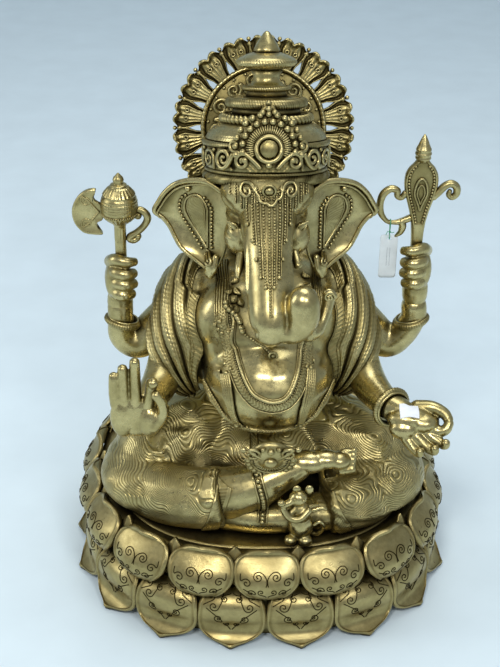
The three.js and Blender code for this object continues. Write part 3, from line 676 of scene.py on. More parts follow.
LOWER_SCROLLS = [
    spiral(7.5, 24, 4.2, 1.4, -math.pi / 2, 1, lead=(0.8, 17)),
    spiral(19, 33, 5.5, 1.3, math.pi * 0.9, -1, lead=(9, 18)),
    spiral(14, 48, 5.0, 1.3, math.pi / 2, -1, lead=(27, 36)),
    spiral(5.0, 56, 3.2, 1.2, 0.2, 1, lead=(1.0, 64)),
    spiral(22, 22, 4.4, 1.2, math.pi * 0.6, 1, lead=(30, 32)),
]
UPPER_SCROLLS = [
    spiral(9.5, 53, 6.0, 1.6, math.pi * 0.75, -1, lead=(1.2, 43)),
    spiral(22, 46, 5.2, 1.3, math.pi * 0.2, 1, lead=(28, 56)),
    spiral(17, 34, 4.4, 1.2, math.pi * 0.9, -1, lead=(25, 38)),
    spiral(6.5, 36, 3.8, 1.2, -math.pi / 2, 1, lead=(1, 29)),
]


def lower_petal():
    """A petal of the lower tier, which turns down, with its scrolls."""
    profile = [[0, 178, 60], [0.10, 191, 57.5], [0.25, 202, 47], [0.40, 206, 34], [0.54, 206, 24],
               [0.68, 207.5, 15.5], [0.80, 211.5, 10], [0.91, 215.5, 7.2], [1, BASE_R - 2.2, 5.6]]
    widths = [[0, 24], [0.12, 31], [0.27, 36], [0.42, 37.4], [0.56, 36.4], [0.68, 33], [0.78, 26], [0.87, 16],
              [0.94, 7], [1, 1.0]]
    made = petal(profile, widths, lambda t: 5.0 * bump(t, 0.22, 0.2) - 1.2 * bump(t, 0.62, 0.15), 1.4, 4.0)
    cuts = engraved(made, mirrored_lines(LOWER_SCROLLS))
    return tuple(part[::-1] for part in made), cuts


def upper_petal():
    """A petal of the upper tier, which stands up, with its scrolls."""
    profile = [[0, 188, 58], [0.08, 197, 59], [0.2, 204.5, 65], [0.38, 207, 76.5], [0.56, 203, 89],
               [0.74, 196, 100], [0.87, 191, 107.5], [0.94, 192, 111.5], [1, 197, 114.5]]
    widths = [[0, 2], [0.07, 9], [0.14, 16.5], [0.22, 23], [0.32, 29], [0.44, 34.2], [0.58, 36.4],
              [0.72, 35.2], [0.84, 30], [0.92, 19], [1, 1.0]]
    made = petal(profile, widths, lambda t: 6.0 * bump(t, 0.4, 0.32), 1.4, 4.5)
    return made, engraved(made, mirrored_lines(UPPER_SCROLLS))


def inner_tip():
    """The ridged triangular point that shows between two upper petals."""
    t = np.linspace(0, 1, 24)
    u = np.linspace(-1, 1, 25)
    half = 14.0 * (1 - t) + 0.6
    x = half[:, None] * u[None]
    radius = 188 - 5 * t[:, None] + 4.0 * (1 - np.abs(u[None])) * (1 - t[:, None] * 0.6)
    z = np.repeat((97 + 16 * t)[:, None], 25, 1)
    inward = np.zeros((24, 25, 3))
    inward[..., 1] = -3.0
    return np.stack([x, radius, z], -1), inward, 0.25 * bump(np.abs(u), 1.0, 0.15)[None] * np.ones((24, 1))


def build_base():
    """The two lotus tiers, the seat plate and the bolts."""
    low = plan_ring([[168, 0], [190, 0], [192, 2], [192, 20], [186, 45], [181, 58.5], [168, 58.5]])
    made, cuts = lower_petal()
    lower = joined(low, petal_ring(made, BASE_R, 0.5), ring_of(cuts, BASE_R, 0.5))
    piece("lower_lotus_petals", lower, BASE_BRASS, "lotus_lower_tier")
    drum = plan_ring([[160, 59.2], [182, 59.2], [188, 66], [190, 90], [188, 101], [180, SEAT_Z - 0.8],
                      [171, SEAT_Z - 0.4], [171, 95.5], [160, 95.5]])
    made, cuts = upper_petal()
    upper = joined(drum, petal_ring(made, UPPER_R, 0.0), ring_of(cuts, UPPER_R, 0.0),
                   petal_ring(inner_tip(), UPPER_R, 0.5))
    piece("upper_lotus_petals", upper, BASE_BRASS, "lotus_upper_tier")
    seat_low, seat_high = (np.array(v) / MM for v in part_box("seat_plate"))
    rows = np.linspace(0, 170, 40)
    top = [[r, seat_high[2] - 0.8 * smoothstep(r, 150, 170)] for r in rows[::-1]]
    loop = [[0.5, seat_low[2]], [170, seat_low[2]]] + top[:-1] + [[0.5, seat_high[2]]]
    piece("seat_surface", plan_ring(loop), BASE_BRASS, "seat_plate")
    for side in ("right", "left"):
        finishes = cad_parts["seat_bolt_" + side].data.materials
        finishes.clear()
        finishes.append(STEEL)


# ------------------------------------------------------------------ dhoti, legs and feet
def settle(mesh, floor):
    """Flattens whatever hangs below a level."""
    mesh.points[:, 2] = np.maximum(mesh.points[:, 2], floor)
    return mesh


def nearness(mesh, path, width):
    """How near each point of a mesh lies to a 3-D path, from 1 on it down to 0."""
    nearest = np.full(len(mesh.points), 1e9)
    for start in range(0, len(path), 64):
        gap = ((mesh.points[:, None] - path[None, start:start + 64]) ** 2).sum(-1).min(1)
        nearest = np.minimum(nearest, gap)
    return np.exp(-nearest / width**2)


def carve(mesh, marks):
    """Applies ridges and grooves given as [path knots, width, height], in millimetres."""
    total, depth = np.zeros(len(mesh.points)), np.zeros(len(mesh.points))
    for knots, width, height in marks:
        near = nearness(mesh, spline(knots, 1.5), width)
        total += near * height
        if height < 0:
            depth = np.maximum(depth, near * min(1.0, -height / 2))
    return push(mesh, total, 0.5 * depth)


def build_dhoti():
    """The hips and thighs in one draped form, with the folds pressed in."""
    hips = [ball((0, 4, 158), (100, 74, 60)), ball((0, -30, 150), (80, 60, 40))]
    thighs = []
    for s in (-1, 1):
        thighs.append(tube(spline([[s * 34, 0, 164], [s * 84, -26, 152], [s * 126, -52, 138]], 6), 50.0))
        thighs.append(ball((s * 126, -66, 131), (57, 66, 35)))
        thighs.append(ball((s * 128, -56, 140), (50, 52, 32)))
    right_calf = [tube(spline([[-138, -80, 126], [-104, -110, 130], [-70, -126, 136], [-47, -130, 141]], 5),
                       34, dome=0.12)]
    left_calf = [
        tube(spline([[138, -78, 124], [112, -110, 124], [86, -124, 126], [68, -129, 126]], 5), 31, dome=0.12)]
    cloth = settle(sculpt(hips + thighs + right_calf + left_calf, 2.0, 10), SEAT_Z + 0.4)
    marks = [([[-34, -118, 176], [-66, -128, 164], [-104, -112, 152], [-150, -86, 140], [-172, -68, 128]],
              4.5, 3.2), ([[-34, -112, 168], [-70, -136, 152], [-110, -124, 140], [-152, -96, 126]], 4, -2.2),
             ([[-30, -100, 186], [-70, -100, 176], [-120, -86, 168], [-160, -66, 152]], 4, 2.0),
             ([[-60, -60, 200], [-90, -62, 188], [-130, -60, 176]], 5, -2.5),
             ([[60, -150, 150], [92, -152, 132], [128, -138, 122], [164, -100, 122]], 5, 3.6),
             ([[58, -148, 140], [96, -152, 120], [132, -134, 112], [168, -94, 112]], 4.5, -2.4),
             ([[60, -60, 200], [90, -72, 190], [132, -70, 172], [168, -56, 146]], 6, 2.8),
             ([[52, -64, 206], [84, -84, 188], [122, -92, 172]], 4.5, -2.6),
             ([[70, -40, 204], [106, -48, 190], [150, -44, 164]], 5, -2.4),
             ([[96, -20, 196], [136, -24, 176], [168, -22, 146]], 6, 2.2)]
    return carve(cloth, marks)


def hem_band(skin, start, end, width, lift=1.2):
    """A flat engraved border laid down the front of a trouser leg from start to end."""
    rows, columns = 60, 15
    t = np.linspace(0, 1, rows)[:, None, None]
    u = np.linspace(-1, 1, columns)[None, :, None]
    start, end = np.asarray(start, float), np.asarray(end, float)
    across = unit(np.cross(end - start, (0, 1, 0)))
    points = start + (end - start) * t + across * width * 0.5 * u
    place, normal = skin.lay(points, lift=0)
    edge = bump(np.abs(u[..., 0]), 0.86, 0.1) + bump(np.abs(u[..., 0]), 0.6, 0.06)
    hatch = 0.5 + 0.5 * np.sin((t[..., 0] * np.linalg.norm(end - start) + 5 * u[..., 0]) * 2.0)
    height = lift + 0.8 * edge + 0.5 * hatch * (np.abs(u[..., 0]) < 0.52)
    outer = place + normal * height[..., None]
    return shell(outer, 4.0, -normal, 0.4 * (1 - hatch) * (np.abs(u[..., 0]) < 0.52))


def build_shins():
    """The crossed lower legs."""
    path = spline([[-66, -118, 140, 27], [-44, -127, 144, 28], [-14, -134, 156, 25], [10, -135, 169, 20],
                   [36, -133, 182, 14.5]], 4)
    right = [tube(path, path[:, 3]), ball((-36, -126, 138), (28, 27, 28)),
             ball((-10, -131, 154), (26, 24, 24)), ball((20, -132, 175), (18, 17, 16))]
    right = settle(sculpt(right, 1.6, 8), SEAT_Z + 0.4)
    left = [tube(spline([[96, -112, 122], [48, -136, 122], [0, -140, 120], [-46, -130, 118]], 4), 18),
            ball((62, -130, 120), (30, 24, 20))]
    left = settle(sculpt(left, 1.6, 8), SEAT_Z + 0.4)
    return right, left


def build_foot():
    """The right foot with its toes."""
    sole = [ball((26, -132, 182), (22, 16, 14)), ball((44, -132, 187), (24, 14, 12.5)),
            ball((62, -130, 189), (20, 13, 10.5)), ball((77, -129, 187), (14, 12.5, 9.5))]
    toes = []
    for k in range(5):
        along = np.array([88.0, -128.0, 186.0]) + np.array([0.6 * k, 2.2 * k - 5, 4.6 * k - 9.0])
        size = (4.6, 3.7, 3.7, 3.5, 3.3)[k]
        toes.append(tube([along - (8, 0, 1), along, along + (4.5, -1, 1.5)], [size, size, size * 0.95], 12))
    return sculpt(sole + toes, 1.0, 4)


def build_legs():
    """The lap and everything on it: dhoti, shins, foot, hems and anklet."""
    cloth = build_dhoti()
    right, left = build_shins()
    skin = Skin(cloth, right)
    piece("dhoti_cloth", cloth, CLOTH_BRASS, ["dhoti_hips", "dhoti_left_leg"])
    bands = [hem_band(skin, (-44, -150, 168), (-62, -160, 108), 16),
             hem_band(skin, (66, -150, 151), (88, -160, 108), 16)]
    piece("trouser_hems", joined(*bands), BRASS, None)
    piece("bare_shins", joined(right, left), SKIN_BRASS, "dhoti_right_leg")
    piece("top_foot", build_foot(), SKIN_BRASS, "right_foot")
    band_line = spline([[-14, -160, 191], [-9, -165, 176], [-4, -165, 158], [-3, -160, 140], [-4, -150, 126]],
                       4.2)
    whole = Skin(right, left, cloth)
    place, _ = whole.lay(band_line, lift=1.0)
    rails = []
    for s in (-1, 1):
        rail, _ = whole.lay(band_line + (4.6 * s, 0, 0), lift=0.6)
        rails.append(tube(spline(rail, 2), 1.3, 8))
    piece("anklet_beads", joined(beads(place, 2.9, 10), *rails), BRASS, "anklet")
    return cloth


# ------------------------------------------------------------------ body
def build_torso():
    """The belly, chest and shoulders."""
    body = [ball((4, -50, 256), (72, 86, 62)), ball((4, -52, 240), (70, 80, 41)),
            ball((0, -12, 316), (84, 58, 58)), ball((0, 20, 252), (80, 50, 68)),
            ball((2, -30, 298), (76, 68, 60))]
    for s in (-1, 1):
        body += [ball((s * 42, -44, 313), (36, 36, 42)), ball((s * 71, 0, 317), (38, 35, 35)),
                 ball((s * 42, -4, 338), (34, 32, 24)), ball((s * 32, 14, 350), (32, 30, 28)),
                 ball((s * 70, -20, 268), (26, 34, 48)), ball((s * 46, -45, 284), (24, 38, 38))]
    trunk = sculpt(body, 2.0, 18)
    navel = bump(np.hypot(trunk.points[:, 0] - 2.6, trunk.points[:, 2] - 235), 0,
                 4.5) * (trunk.points[:, 1] < -100)
    marks = [([[s * 76, -62, 294], [s * 62, -84, 283], [s * 46, -94, 283]], 4.5, -2.6) for s in (-1, 1)]
    trunk = carve(trunk, marks)
    return push(trunk, -4.0 * navel, 0.6 * navel)


def build_head():
    """The skull and trunk, with the creases of the face. Also returns the head before its creases."""
    skull = [ball((0, 6, 412), (51, 30, 50)), ball((0, -16, 430), (45, 46, 46)),
             ball((0, -32, 456), (49, 38, 31)), ball((0, -10, 400), (38, 42, 44)),
             ball((-29, -46, 413), (16, 19, 21)), ball((29, -46, 413), (16, 19, 21))]
    path = spline([[0, -40, 444, 31], [0, -58, 436, 29], [-0.5, -78, 421, 26], [0, -100, 398, 23.5],
                   [1.2, -120, 376, 23.4], [1.5, -132, 363, 22.4], [1.0, -139, 354, 19.6],
                   [0, -142, 348, 15]], 3)
    skull.append(tube(path, path[:, 3], 28))
    bare = sculpt(skull, 2.0, 8)
    curl = spline([[10, -141, 352, 10], [20, -143, 351, 12], [28, -143, 356, 14.5], [33, -142, 367, 16.5],
                   [33, -140, 380, 17]], 3)
    skull.append(tube(curl, curl[:, 3], 24))
    skull.append(ball((33, -140, 382), (16.5, 17, 19)))
    tip = spline([[38, -143, 350, 9], [47, -138, 350, 7], [53, -130, 357, 6], [58, -123, 368, 6.2],
                  [60, -118, 378, 7]], 2)
    skull.append(tube(tip, tip[:, 3], 18))
    head = sculpt(skull, 1.4, 8)
    marks = []
    for s in (-1, 1):
        marks += [
            ([[s * 50, -48, 464], [s * 40, -68, 452], [s * 31, -82, 441], [s * 26, -92, 426],
              [s * 23, -106, 404], [s * 21, -118, 386]], 2.6, 2.6),
            ([[s * 48, -46, 452], [s * 39, -60, 445], [s * 32, -70, 434], [s * 28, -76, 420],
              [s * 26, -84, 404]], 4.2, -5.0),
            ([[s * 46, -50, 447], [s * 39, -60, 442], [s * 33, -67, 433], [s * 30, -70, 426]], 1.8, 2.4),
            ([[s * 46, -50, 421], [s * 40, -62, 418], [s * 33, -68, 416]], 2.2, -1.8)]
    marks.append(
        ([[18, -152, 400], [17.5, -158, 384], [17, -160, 366], [18, -160, 350], [19, -154, 342]], 2.2, -4.5))
    marks.append(([[22, -162, 362], [33, -163, 361], [46, -156, 364]], 2.2, -1.4))
    return carve(head, marks), bare


def almond(centre, width, height, turn, depth=3.5):
    """A half-closed eye: an almond ball with a heavy upper lid."""
    c, s = math.cos(turn), math.sin(turn)
    spin = np.array([[c, 0, -s], [0, 1, 0], [s, 0, c]])
    eye = ball((0, 0, 0), (width, depth, height), around=28)
    eye.points[:, 2] *= 1 - 0.5 * np.abs(eye.points[:, 0] / width) ** 1.5
    lid = [[-width * 1.15, 0.5, -0.5], [-width * 0.5, -depth * 0.8, height * 0.6],
           [width * 0.1, -depth, height * 0.75], [width * 0.7, -depth * 0.6, height * 0.3],
           [width * 1.2, 0.5, -1]]
    low = [[-width * 1.1, 0.5, -0.6], [0, -depth * 0.9, -height * 0.75], [width * 1.1, 0.5, -0.8]]
    parts = joined(eye, tube(spline(lid, 0.8), 1.1, 8), tube(spline(low, 0.8), 0.8, 8))
    return parts.moved(centre, spin)


EAR_ROOT = [[43, -24, 458], [41, -30, 438], [41, -32, 412], [45, -34, 388], [54, -36, 366]]
EAR_RIM = [[47, -22, 452], [62, -14, 459], [80, -8, 458], [95, -5, 453], [106, -3, 443], [113, -2, 432],
           [118, -2, 421], [109, -3, 413], [102, -5, 404], [97, -8, 394], [91, -12, 384], [82, -18, 377],
           [70, -27, 371], [57, -36, 363]]


def ear_point(u, t):
    """A place on the ear at +X: u runs from the root to the rim, t from the top to the lobe."""
    root, rim = spline(EAR_ROOT, 0.5), spline(EAR_RIM, 0.5)
    a = np.stack([np.interp(t, np.linspace(0, 1, len(root)), root[:, k]) for k in range(3)], -1)
    b = np.stack([np.interp(t, np.linspace(0, 1, len(rim)), rim[:, k]) for k in range(3)], -1)
    p = a + (b - a) * u[..., None]
    dish = 9.0 * np.sin(np.pi * np.clip(u, 0, 1)) * np.sin(np.pi * np.clip(t, 0.02, 0.98)) ** 0.7
    p[..., 1] += dish
    return p


def build_ear():
    """The ear at +X: a dished flap with a rolled rim and a lobe."""
    u, t = np.meshgrid(np.linspace(0, 1, 44), np.linspace(0, 1, 120), indexing="ij")
    grid = ear_point(u, t)
    du, dt = np.gradient(grid, axis=0), np.gradient(grid, axis=1)
    n = unit(np.cross(dt, du))
    n[np.einsum("ijk,ijk->ij", n, n) < 0.5] = (0, -1, 0)
    n[n[..., 1] > 0] *= -1
    flap = shell(grid[:, ::-1], 3.4, -n[:, ::-1], (0.45 * bump(u, 0.88, 0.08) * (t < 0.5))[:, ::-1])
    rim = spline(EAR_RIM, 1.5)
    t_rim = np.linspace(0, 1, len(rim))
    upper = rim[t_rim < 0.53]
    lower = rim[t_rim > 0.5]
    roll = joined(tube(upper + (0, -0.5, 0), np.linspace(3.6, 2.6, len(upper)), 12),
                  tube(upper + (-3.0, -2.2, -3.6), np.linspace(1.7, 1.0, len(upper)), 10),
                  tube(lower + (0, 0.4, 0), np.linspace(2.6, 2.0, len(lower)), 10))
    lobe = sculpt([ball((58, -37, 371), (7, 6, 12)), ball((60, -36, 366), (5.5, 5, 9)),
                   tube(spline([[53, -38, 384], [55, -42, 372], [59, -40, 362]], 2), 3.4, 12)], 0.9, 3)
    return joined(flap, roll, lobe)


def ear_jewel(skin):
    """The paisley on the ear: a hatched field in a double border with bead rows, a boss and a curled tail."""
    axis = spline([[74, 0, 442], [74, 0, 428], [69, 0, 408], [62, 0, 386]], 1.0)
    t = np.linspace(0, 1, len(axis))
    width = 12.5 * np.where(t < 0.3, np.sqrt(np.clip(1 - ((t - 0.3) / 0.3) ** 2, 0.01, 1)),
                            np.clip(1 - (t - 0.3) / 0.7, 0.05, 1) ** 0.85)
    tangent = unit(np.gradient(axis, axis=0))
    side = np.cross(tangent, (0, 1, 0))
    left, right = axis + side * width[:, None], axis - side * width[:, None]
    ring = np.vstack([left, right[::-1]])
    parts = []
    for grow, radius in ((1.0, 1.5), (0.74, 0.9)):
        middle = axis[np.concatenate([np.arange(len(axis)), np.arange(len(axis))[::-1]])]
        line, _ = skin.lay(middle + (ring - middle) * grow, lift=0.4)
        parts.append(tube(resample(np.vstack([line, line[:1]]), 1.5), radius, 8))
    u = np.linspace(-0.7, 0.7, 12)
    field = axis[2:-6, None] + (side * width[:, None])[2:-6, None] * u[None, :, None]
    place, normal = skin.lay(field, lift=0)
    hatch = 0.5 + 0.5 * np.sin(field[..., 0] * 3.2 + field[..., 2] * 1.6)
    parts.append(shell(place + normal * (0.8 + 0.7 * hatch)[..., None], 3.0, -normal, 0.35 * (1 - hatch)))
    outer = resample(axis + side * (width + 5.2)[:, None], 4.3)[1:]
    inner = resample(axis - side * (width + 4.6)[:, None], 4.0)[1:]
    for row in (outer, inner):
        place, _ = skin.lay(row, lift=1.0)
        parts.append(beads(place, 1.9))
    boss, _ = skin.lay([[82, 0, 449]], lift=1.4)
    parts.append(beads(boss, 3.9, 16))
    tail, _ = skin.lay(in_plane(spiral(62, 379, 4.5, 1.2, math.pi / 2, 1), 0.0), lift=0.6)
    parts.append(tube(resample(tail, 1.2), 1.4, 8))
    return joined(*parts)


def forehead_net(skin, bare):
    """Strands of fine beads hanging from the crown and drawn together down the trunk."""
    parts = []
    for k in range(-8, 9):
        z = np.arange(472, 371, -2.3)
        x = k * 5.5 * (1 - 0.22 * smoothstep(472 - z, 10, 80))
        reach = np.interp(z, [396, 401, 415, 430, 443, 453, 472], [3, 9, 12, 15.5, 21, 30, 50])
        keep = np.abs(x) <= reach
        if keep.sum() < 3:
            continue
        line = np.column_stack([x[keep], np.full(keep.sum(), -160.0), z[keep]])
        shell_skin = bare if line[:, 2].min() < 415 else skin
        parts.append(beads(shell_skin.found(line, 0.5), 1.45, 7))
        cord = shell_skin.found(line + (2.5, 0, 0), 0.2)
        if k < 8 and len(cord) > 3:
            parts.append(tube(resample(cord, 3), 0.8, 6))
    for s in (-1, 1):
        edge = np.array([[s * 21, -180, 441], [s * 16.5, -180, 430], [s * 13, -180, 416], [s * 9, -180, 403],
                         [s * 4, -180, 396]])
        place, _ = bare.lay(edge, lift=1.0)
        parts.append(beads(place, 2.4, 12))
    return joined(*parts)


def net_jewel(skin):
    """The rosette with a scalloped fan and two scrolls at the top of the net."""
    centre, _ = skin.lay([[0.5, -100, 470]], lift=3.0)
    x0, y0, z0 = centre[0]
    parts = [ball((x0, y0 - 0.5, z0), (4.4, 3.0, 4.4))]
    circle = circle_of(40)
    parts.append(loop_tube(np.stack([x0 + 6.2 * np.cos(circle), np.full(40, y0 + 0.5), z0 + 6.2
                                     * np.sin(circle)], 1), 1.5, 8))
    scallop = []
    for a in np.linspace(-1.05 * math.pi, 0.05 * math.pi, 60):
        r = 11.6 + 1.8 * abs(math.sin(a * 3.5))
        scallop.append([x0 + r * math.cos(a), -100.0, z0 + r * math.sin(a)])
    parts.append(tube(skin.found(np.array(scallop), 1.4), 1.6, 8))
    for a in np.linspace(-0.95 * math.pi, -0.05 * math.pi, 9):
        parts.append(
            ball((x0 + 8.9 * math.cos(a), y0 + 1.8, z0 + 8.9 * math.sin(a)), (1.6, 1.6, 1.6), around=10))
    for s in (-1, 1):
        line = spiral(s * 22, 469, 6.6, 1.4, math.pi * 0.5, -s, lead=(s * 13.5, 470))
        flat = resample(in_plane(line, -100.0), 1.2)
        place = skin.found(flat, 1.4)
        parts.append(tube(place, np.linspace(2.1, 1.5, len(place)), 8))
    return joined(*parts)


def build_face():
    """The head's skin with its eyes, forehead net and ears."""
    head, bare = build_head()
    skin = Skin(head)
    piece("head_skin", head, SKIN_BRASS, "head_and_trunk")
    eyes = joined(
        *[almond(skin.near([[s * 36.5, -60, 431.5]], -0.6)[0][0], 8.0, 4.6, s * 0.7) for s in (-1, 1)])
    piece("eyes", eyes, SKIN_BRASS, None)
    piece("forehead_beads", joined(forehead_net(skin, Skin(bare)), net_jewel(skin)), BRASS, "forehead_net")
    ear = build_ear()
    jewel = ear_jewel(Skin(ear))
    piece("left_ear_leaf", ear, SKIN_BRASS, "left_ear")
    piece("left_ear_jewel", jewel, BRASS, None)
    piece("right_ear_leaf", ear.mirrored(), SKIN_BRASS, "right_ear")
    piece("right_ear_jewel", jewel.mirrored(), BRASS, None)


# ------------------------------------------------------------------ arms and hands
def limb(*knots, sides=24):
    """A tapered tube through rows of [x, y, z, radius]."""
    path = spline(knots, 3)
    return tube(path, path[:, 3], sides)


def finger(*knots):
    """A thin limb."""
    path = spline(knots, 1.2)
    return tube(path, path[:, 3], 14)


def front_arm(s):
    """A front arm from the shoulder to the wrist."""
    return sculpt([limb([s * 74, 0, 318, 29], [s * 94, -8, 290, 28], [s * 103, -26, 258, 23.5],
                        [s * 115, -60, 240, 20], [s * 131, -98, 236, 15.5])], 1.8, 8)


def fist(s, shaft_x, top):
    """A closed hand round an upright shaft: four fingers folded forward and a thumb across the top."""
    c = np.array([shaft_x, 10.0, 0.0])
    outside = s
    parts = [ball(c + (outside * 4, 5, top - 28), (15.5, 15, 26)),
             ball(c + (outside * 3, 2, top - 56), (14.5, 14.5, 25)),
             ball(c + (outside * 8, -3, top - 27), (10.5, 13.5, 23))]
    for k in range(3):
        z = top - 13 - 12.5 * k
        reach = (1.0, 1.0, -1.5)[k]
        parts.append(finger((*(c + (outside * 9, -5, z - 1)), 6.2), (*(c + (outside * 4, -14, z)), 6.8),
                            (*(c + (-outside * (5 + reach), -17, z - 1)), 6.6),
                            (*(c + (-outside * (12 + reach), -9, z - 3)), 5.9)))
    parts.append(finger((*(c + (outside * 12, 5, top - 8)), 7.5), (*(c + (outside * 6, -8, top)), 6.9),
                        (*(c + (-outside * 6, -13, top - 0.5)), 6.2),
                        (*(c + (-outside * 15, -9, top - 2)), 4.8)))
    return sculpt(parts, 1.0, 3)


def rear_arm(s, shaft_x):
    """A rear arm from the shoulder to the fist on its shaft."""
    return sculpt([limb([s * 80, 18, 306, 26], [s * 116, 20, 272, 23], [s * 140, 16, 252, 20],
                        [s * 157, 12, 262, 16.5], [shaft_x + s * 3, 10, 284, 14.5],
                        [shaft_x + s * 3, 11, 300, 14.5])], 1.6, 8)


def bangle(centre, axis, radius, thick=3.4, beads_count=44):
    """A bracelet: a fat hatched ring between two plain ones."""
    axis = unit(np.asarray(axis, float))
    a = unit(np.cross(axis, (0.3, 1, 0.2)))
    b = np.cross(axis, a)
    angle = circle_of(120)
    ring = np.asarray(centre, float) + radius * (np.cos(angle)[:, None] * a + np.sin(angle)[:, None] * b)
    around = 14
    out = unit(ring - np.asarray(centre, float))
    phi = circle_of(around)
    swell = thick + 0.45 * np.sin(angle * beads_count)[:, None] * np.clip(np.cos(phi), 0, 1)[None]
    points = ring[:, None] + swell[..., None] * (
        np.cos(phi)[None, :, None] * out[:, None] + np.sin(phi)[None, :, None] * axis)
    band = Mesh(points, grid_faces(120, around, True, True),
                np.repeat((0.25 - 0.25 * np.sin(angle * beads_count))[:, None], around, 1))
    rails = []
    for side in (-1, 1):
        line = ring + axis * side * (thick + 0.2) - out * 0.8
        rails.append(loop_tube(line, 1.5))
    return joined(band, *rails)


def loop_tube(line, radius, sides=10):
    """A bar that closes on itself."""
    line = np.asarray(line, float)
    tangent = unit(np.roll(line, -1, 0) - np.roll(line, 1, 0))
    centre = line.mean(0)
    out = line - centre
    out = unit(out - tangent * (out * tangent).sum(1, keepdims=True))
    other = np.cross(tangent, out)
    phi = circle_of(sides)
    radius = np.broadcast_to(np.asarray(radius, float), (len(line),))[:, None, None]
    points = line[:, None] + radius * (np.cos(phi)[None, :, None] * out[:, None] + np.sin(phi)[None, :, None]
                                       * other[:, None])
    return Mesh(points, grid_faces(len(line), sides, True, True))


def raised_hand():
    """The right front hand, palm to the front, its first finger bent to meet the thumb."""
    y = -130.0
    parts = [ball((-139, y + 2, 246), (24, 10, 24)), ball((-150, y + 1, 243), (14, 10, 24)),
             ball((-122, y - 3, 240), (13, 10, 18)), ball((-136, y + 6, 230), (24, 12, 12)),
             limb([-133, -104, 236, 16], [-135, -122, 238, 16])]
    tops = [(-158.5, 298, 5.3), (-149, 307, 5.8), (-136.5, 315, 6.0)]
    for x, top, r in tops:
        parts.append(finger([x * 0.3 - 139 * 0.7 + (x + 139) * 0.62, y + 1, 258, r + 1], [x, y, 272, r + 0.4],
                            [x, y + 1, 288, r], [x, y + 2, top - r, r * 0.92]))
    parts.append(finger([-124, y, 256, 6.6], [-121, y - 2, 274, 6.0], [-119, y - 8, 290, 6.0],
                        [-117, y - 13, 292, 5.4]))
    parts.append(finger([-118, y - 6, 236, 8.5], [-108, y - 8, 252, 6.4], [-109, y - 12, 268, 5.6],
                        [-115, y - 15, 280, 5.2]))
    hand = sculpt(parts, 1.0, 3)
    marks = [([[-120, y - 20, 274], [-129, y - 20, 262], [-132, y - 20, 246], [-130, y - 18, 230]], 2.0,
              -2.4), ([[-160, y - 12, 265], [-144, y - 13, 263], [-128, y - 13, 267]], 1.3, -1.3)]
    for x, top, r in tops:
        marks += [([[x - 6, y - 8, 276], [x, y - 9, 275.5], [x + 6, y - 8, 276]], 1.0, -1.0),
                  ([[x - 6, y - 8, top - 17], [x, y - 9, top - 17.5], [x + 6, y - 8, top - 17]], 0.9, -0.8)]
    return carve(hand, marks)


def open_hand():
    """The left front hand, palm up, thumb and first finger closed in a ring and the rest curled."""
    parts = [ball((152, -120, 234), (25, 16, 13)), ball((166, -124, 232), (17, 15, 11)),
             ball((146, -128, 226), (17, 12, 12)), limb([136, -104, 237, 15.5], [144, -112, 237, 14])]
    parts.append(
        finger([160, -110, 241, 8.4], [175, -115, 244, 7.4], [187, -121, 241, 6.4], [192, -127, 236, 5.4]))
    parts.append(
        finger([168, -128, 229, 7.4], [180, -133, 226, 6.6], [188, -135, 229, 5.8], [192, -131, 235, 5.2]))
    parts.append(
        finger([166, -130, 224, 7], [178, -139, 219, 5.9], [186, -146, 217, 5.2], [187, -149, 222, 4.4]))
    parts.append(
        finger([158, -134, 220, 7], [168, -143, 213, 5.7], [175, -150, 212, 5.0], [175, -152, 217, 4.3]))
    parts.append(
        finger([148, -134, 217, 6.6], [155, -143, 210, 5.3], [160, -149, 208, 4.6], [160, -151, 213, 4.0]))
    hand = sculpt(parts, 1.0, 3)
    return carve(hand,
                 [([[150, -134, 246], [160, -130, 242], [170, -126, 238], [176, -124, 240]], 2.2, -1.6)])


def build_arms():
    """The four arms with their hands, bangles and the paper label."""
    for s, side, shaft in ((-1, "right", MACE_X), (1, "left", GOAD_X)):
        piece(side + "_front_arm_skin", front_arm(s), SKIN_BRASS, side + "_front_arm")
        piece(side + "_rear_arm_skin", joined(rear_arm(s, shaft), fist(s, shaft, 361 if s < 0 else 374)),
              SKIN_BRASS, side + "_rear_arm")
        piece(side + "_rear_bangle_ring", bangle((shaft + s * 1, 10.5, 281), (-s * 0.25, 0.1, 1), 17.5),
              BRASS, side + "_rear_bangle")
    piece("raised_palm", raised_hand(), SKIN_BRASS, "right_front_hand")
    palm = open_hand()
    piece("open_palm", palm, SKIN_BRASS, "left_front_hand")
    add_sticker(Skin(palm))
    piece("left_front_bangle_ring", bangle((134, -102, 236), (0.45, -0.85, 0.05), 19.5, 3.6), BRASS,
          "left_front_bangle")


# ------------------------------------------------------------------ crown and halo
LEAN = math.radians(15)
PIVOT = np.array([0, 5.0, 455.0])
LEAN_TURN = np.array([[1, 0, 0], [0, math.cos(LEAN), math.sin(LEAN)], [0, -math.sin(LEAN), math.cos(LEAN)]])
BAND_RADIUS = 65.0
HALO_Z = 501.0
HALO_LOBES = 18


def leaned(mesh):
    """A mesh built upright, leaned back with the crown."""
    return Mesh((mesh.points - PIVOT) @ LEAN_TURN.T + PIVOT, mesh.faces, mesh.relief)


def rope_ring(z, radius, thick, strands, slant=1, bite=0.16, around=300):
    """A twisted rope that runs round the crown's axis."""
    angle = circle_of(around)
    phi = circle_of(14)
    wave = np.cos(strands * angle[:, None] + slant * phi[None])
    swell = thick * (1 + bite * (np.abs(wave) * 2 - 1))
    r = radius + swell * np.cos(phi)
    points = np.stack([r * np.sin(angle)[:, None], PIVOT[1] - r * np.cos(angle)[:, None], z + swell
                       * np.sin(phi)], -1)
    return Mesh(points, grid_faces(around, 14, True, True)[:, ::-1], 0.45 * (1 - np.abs(wave)))


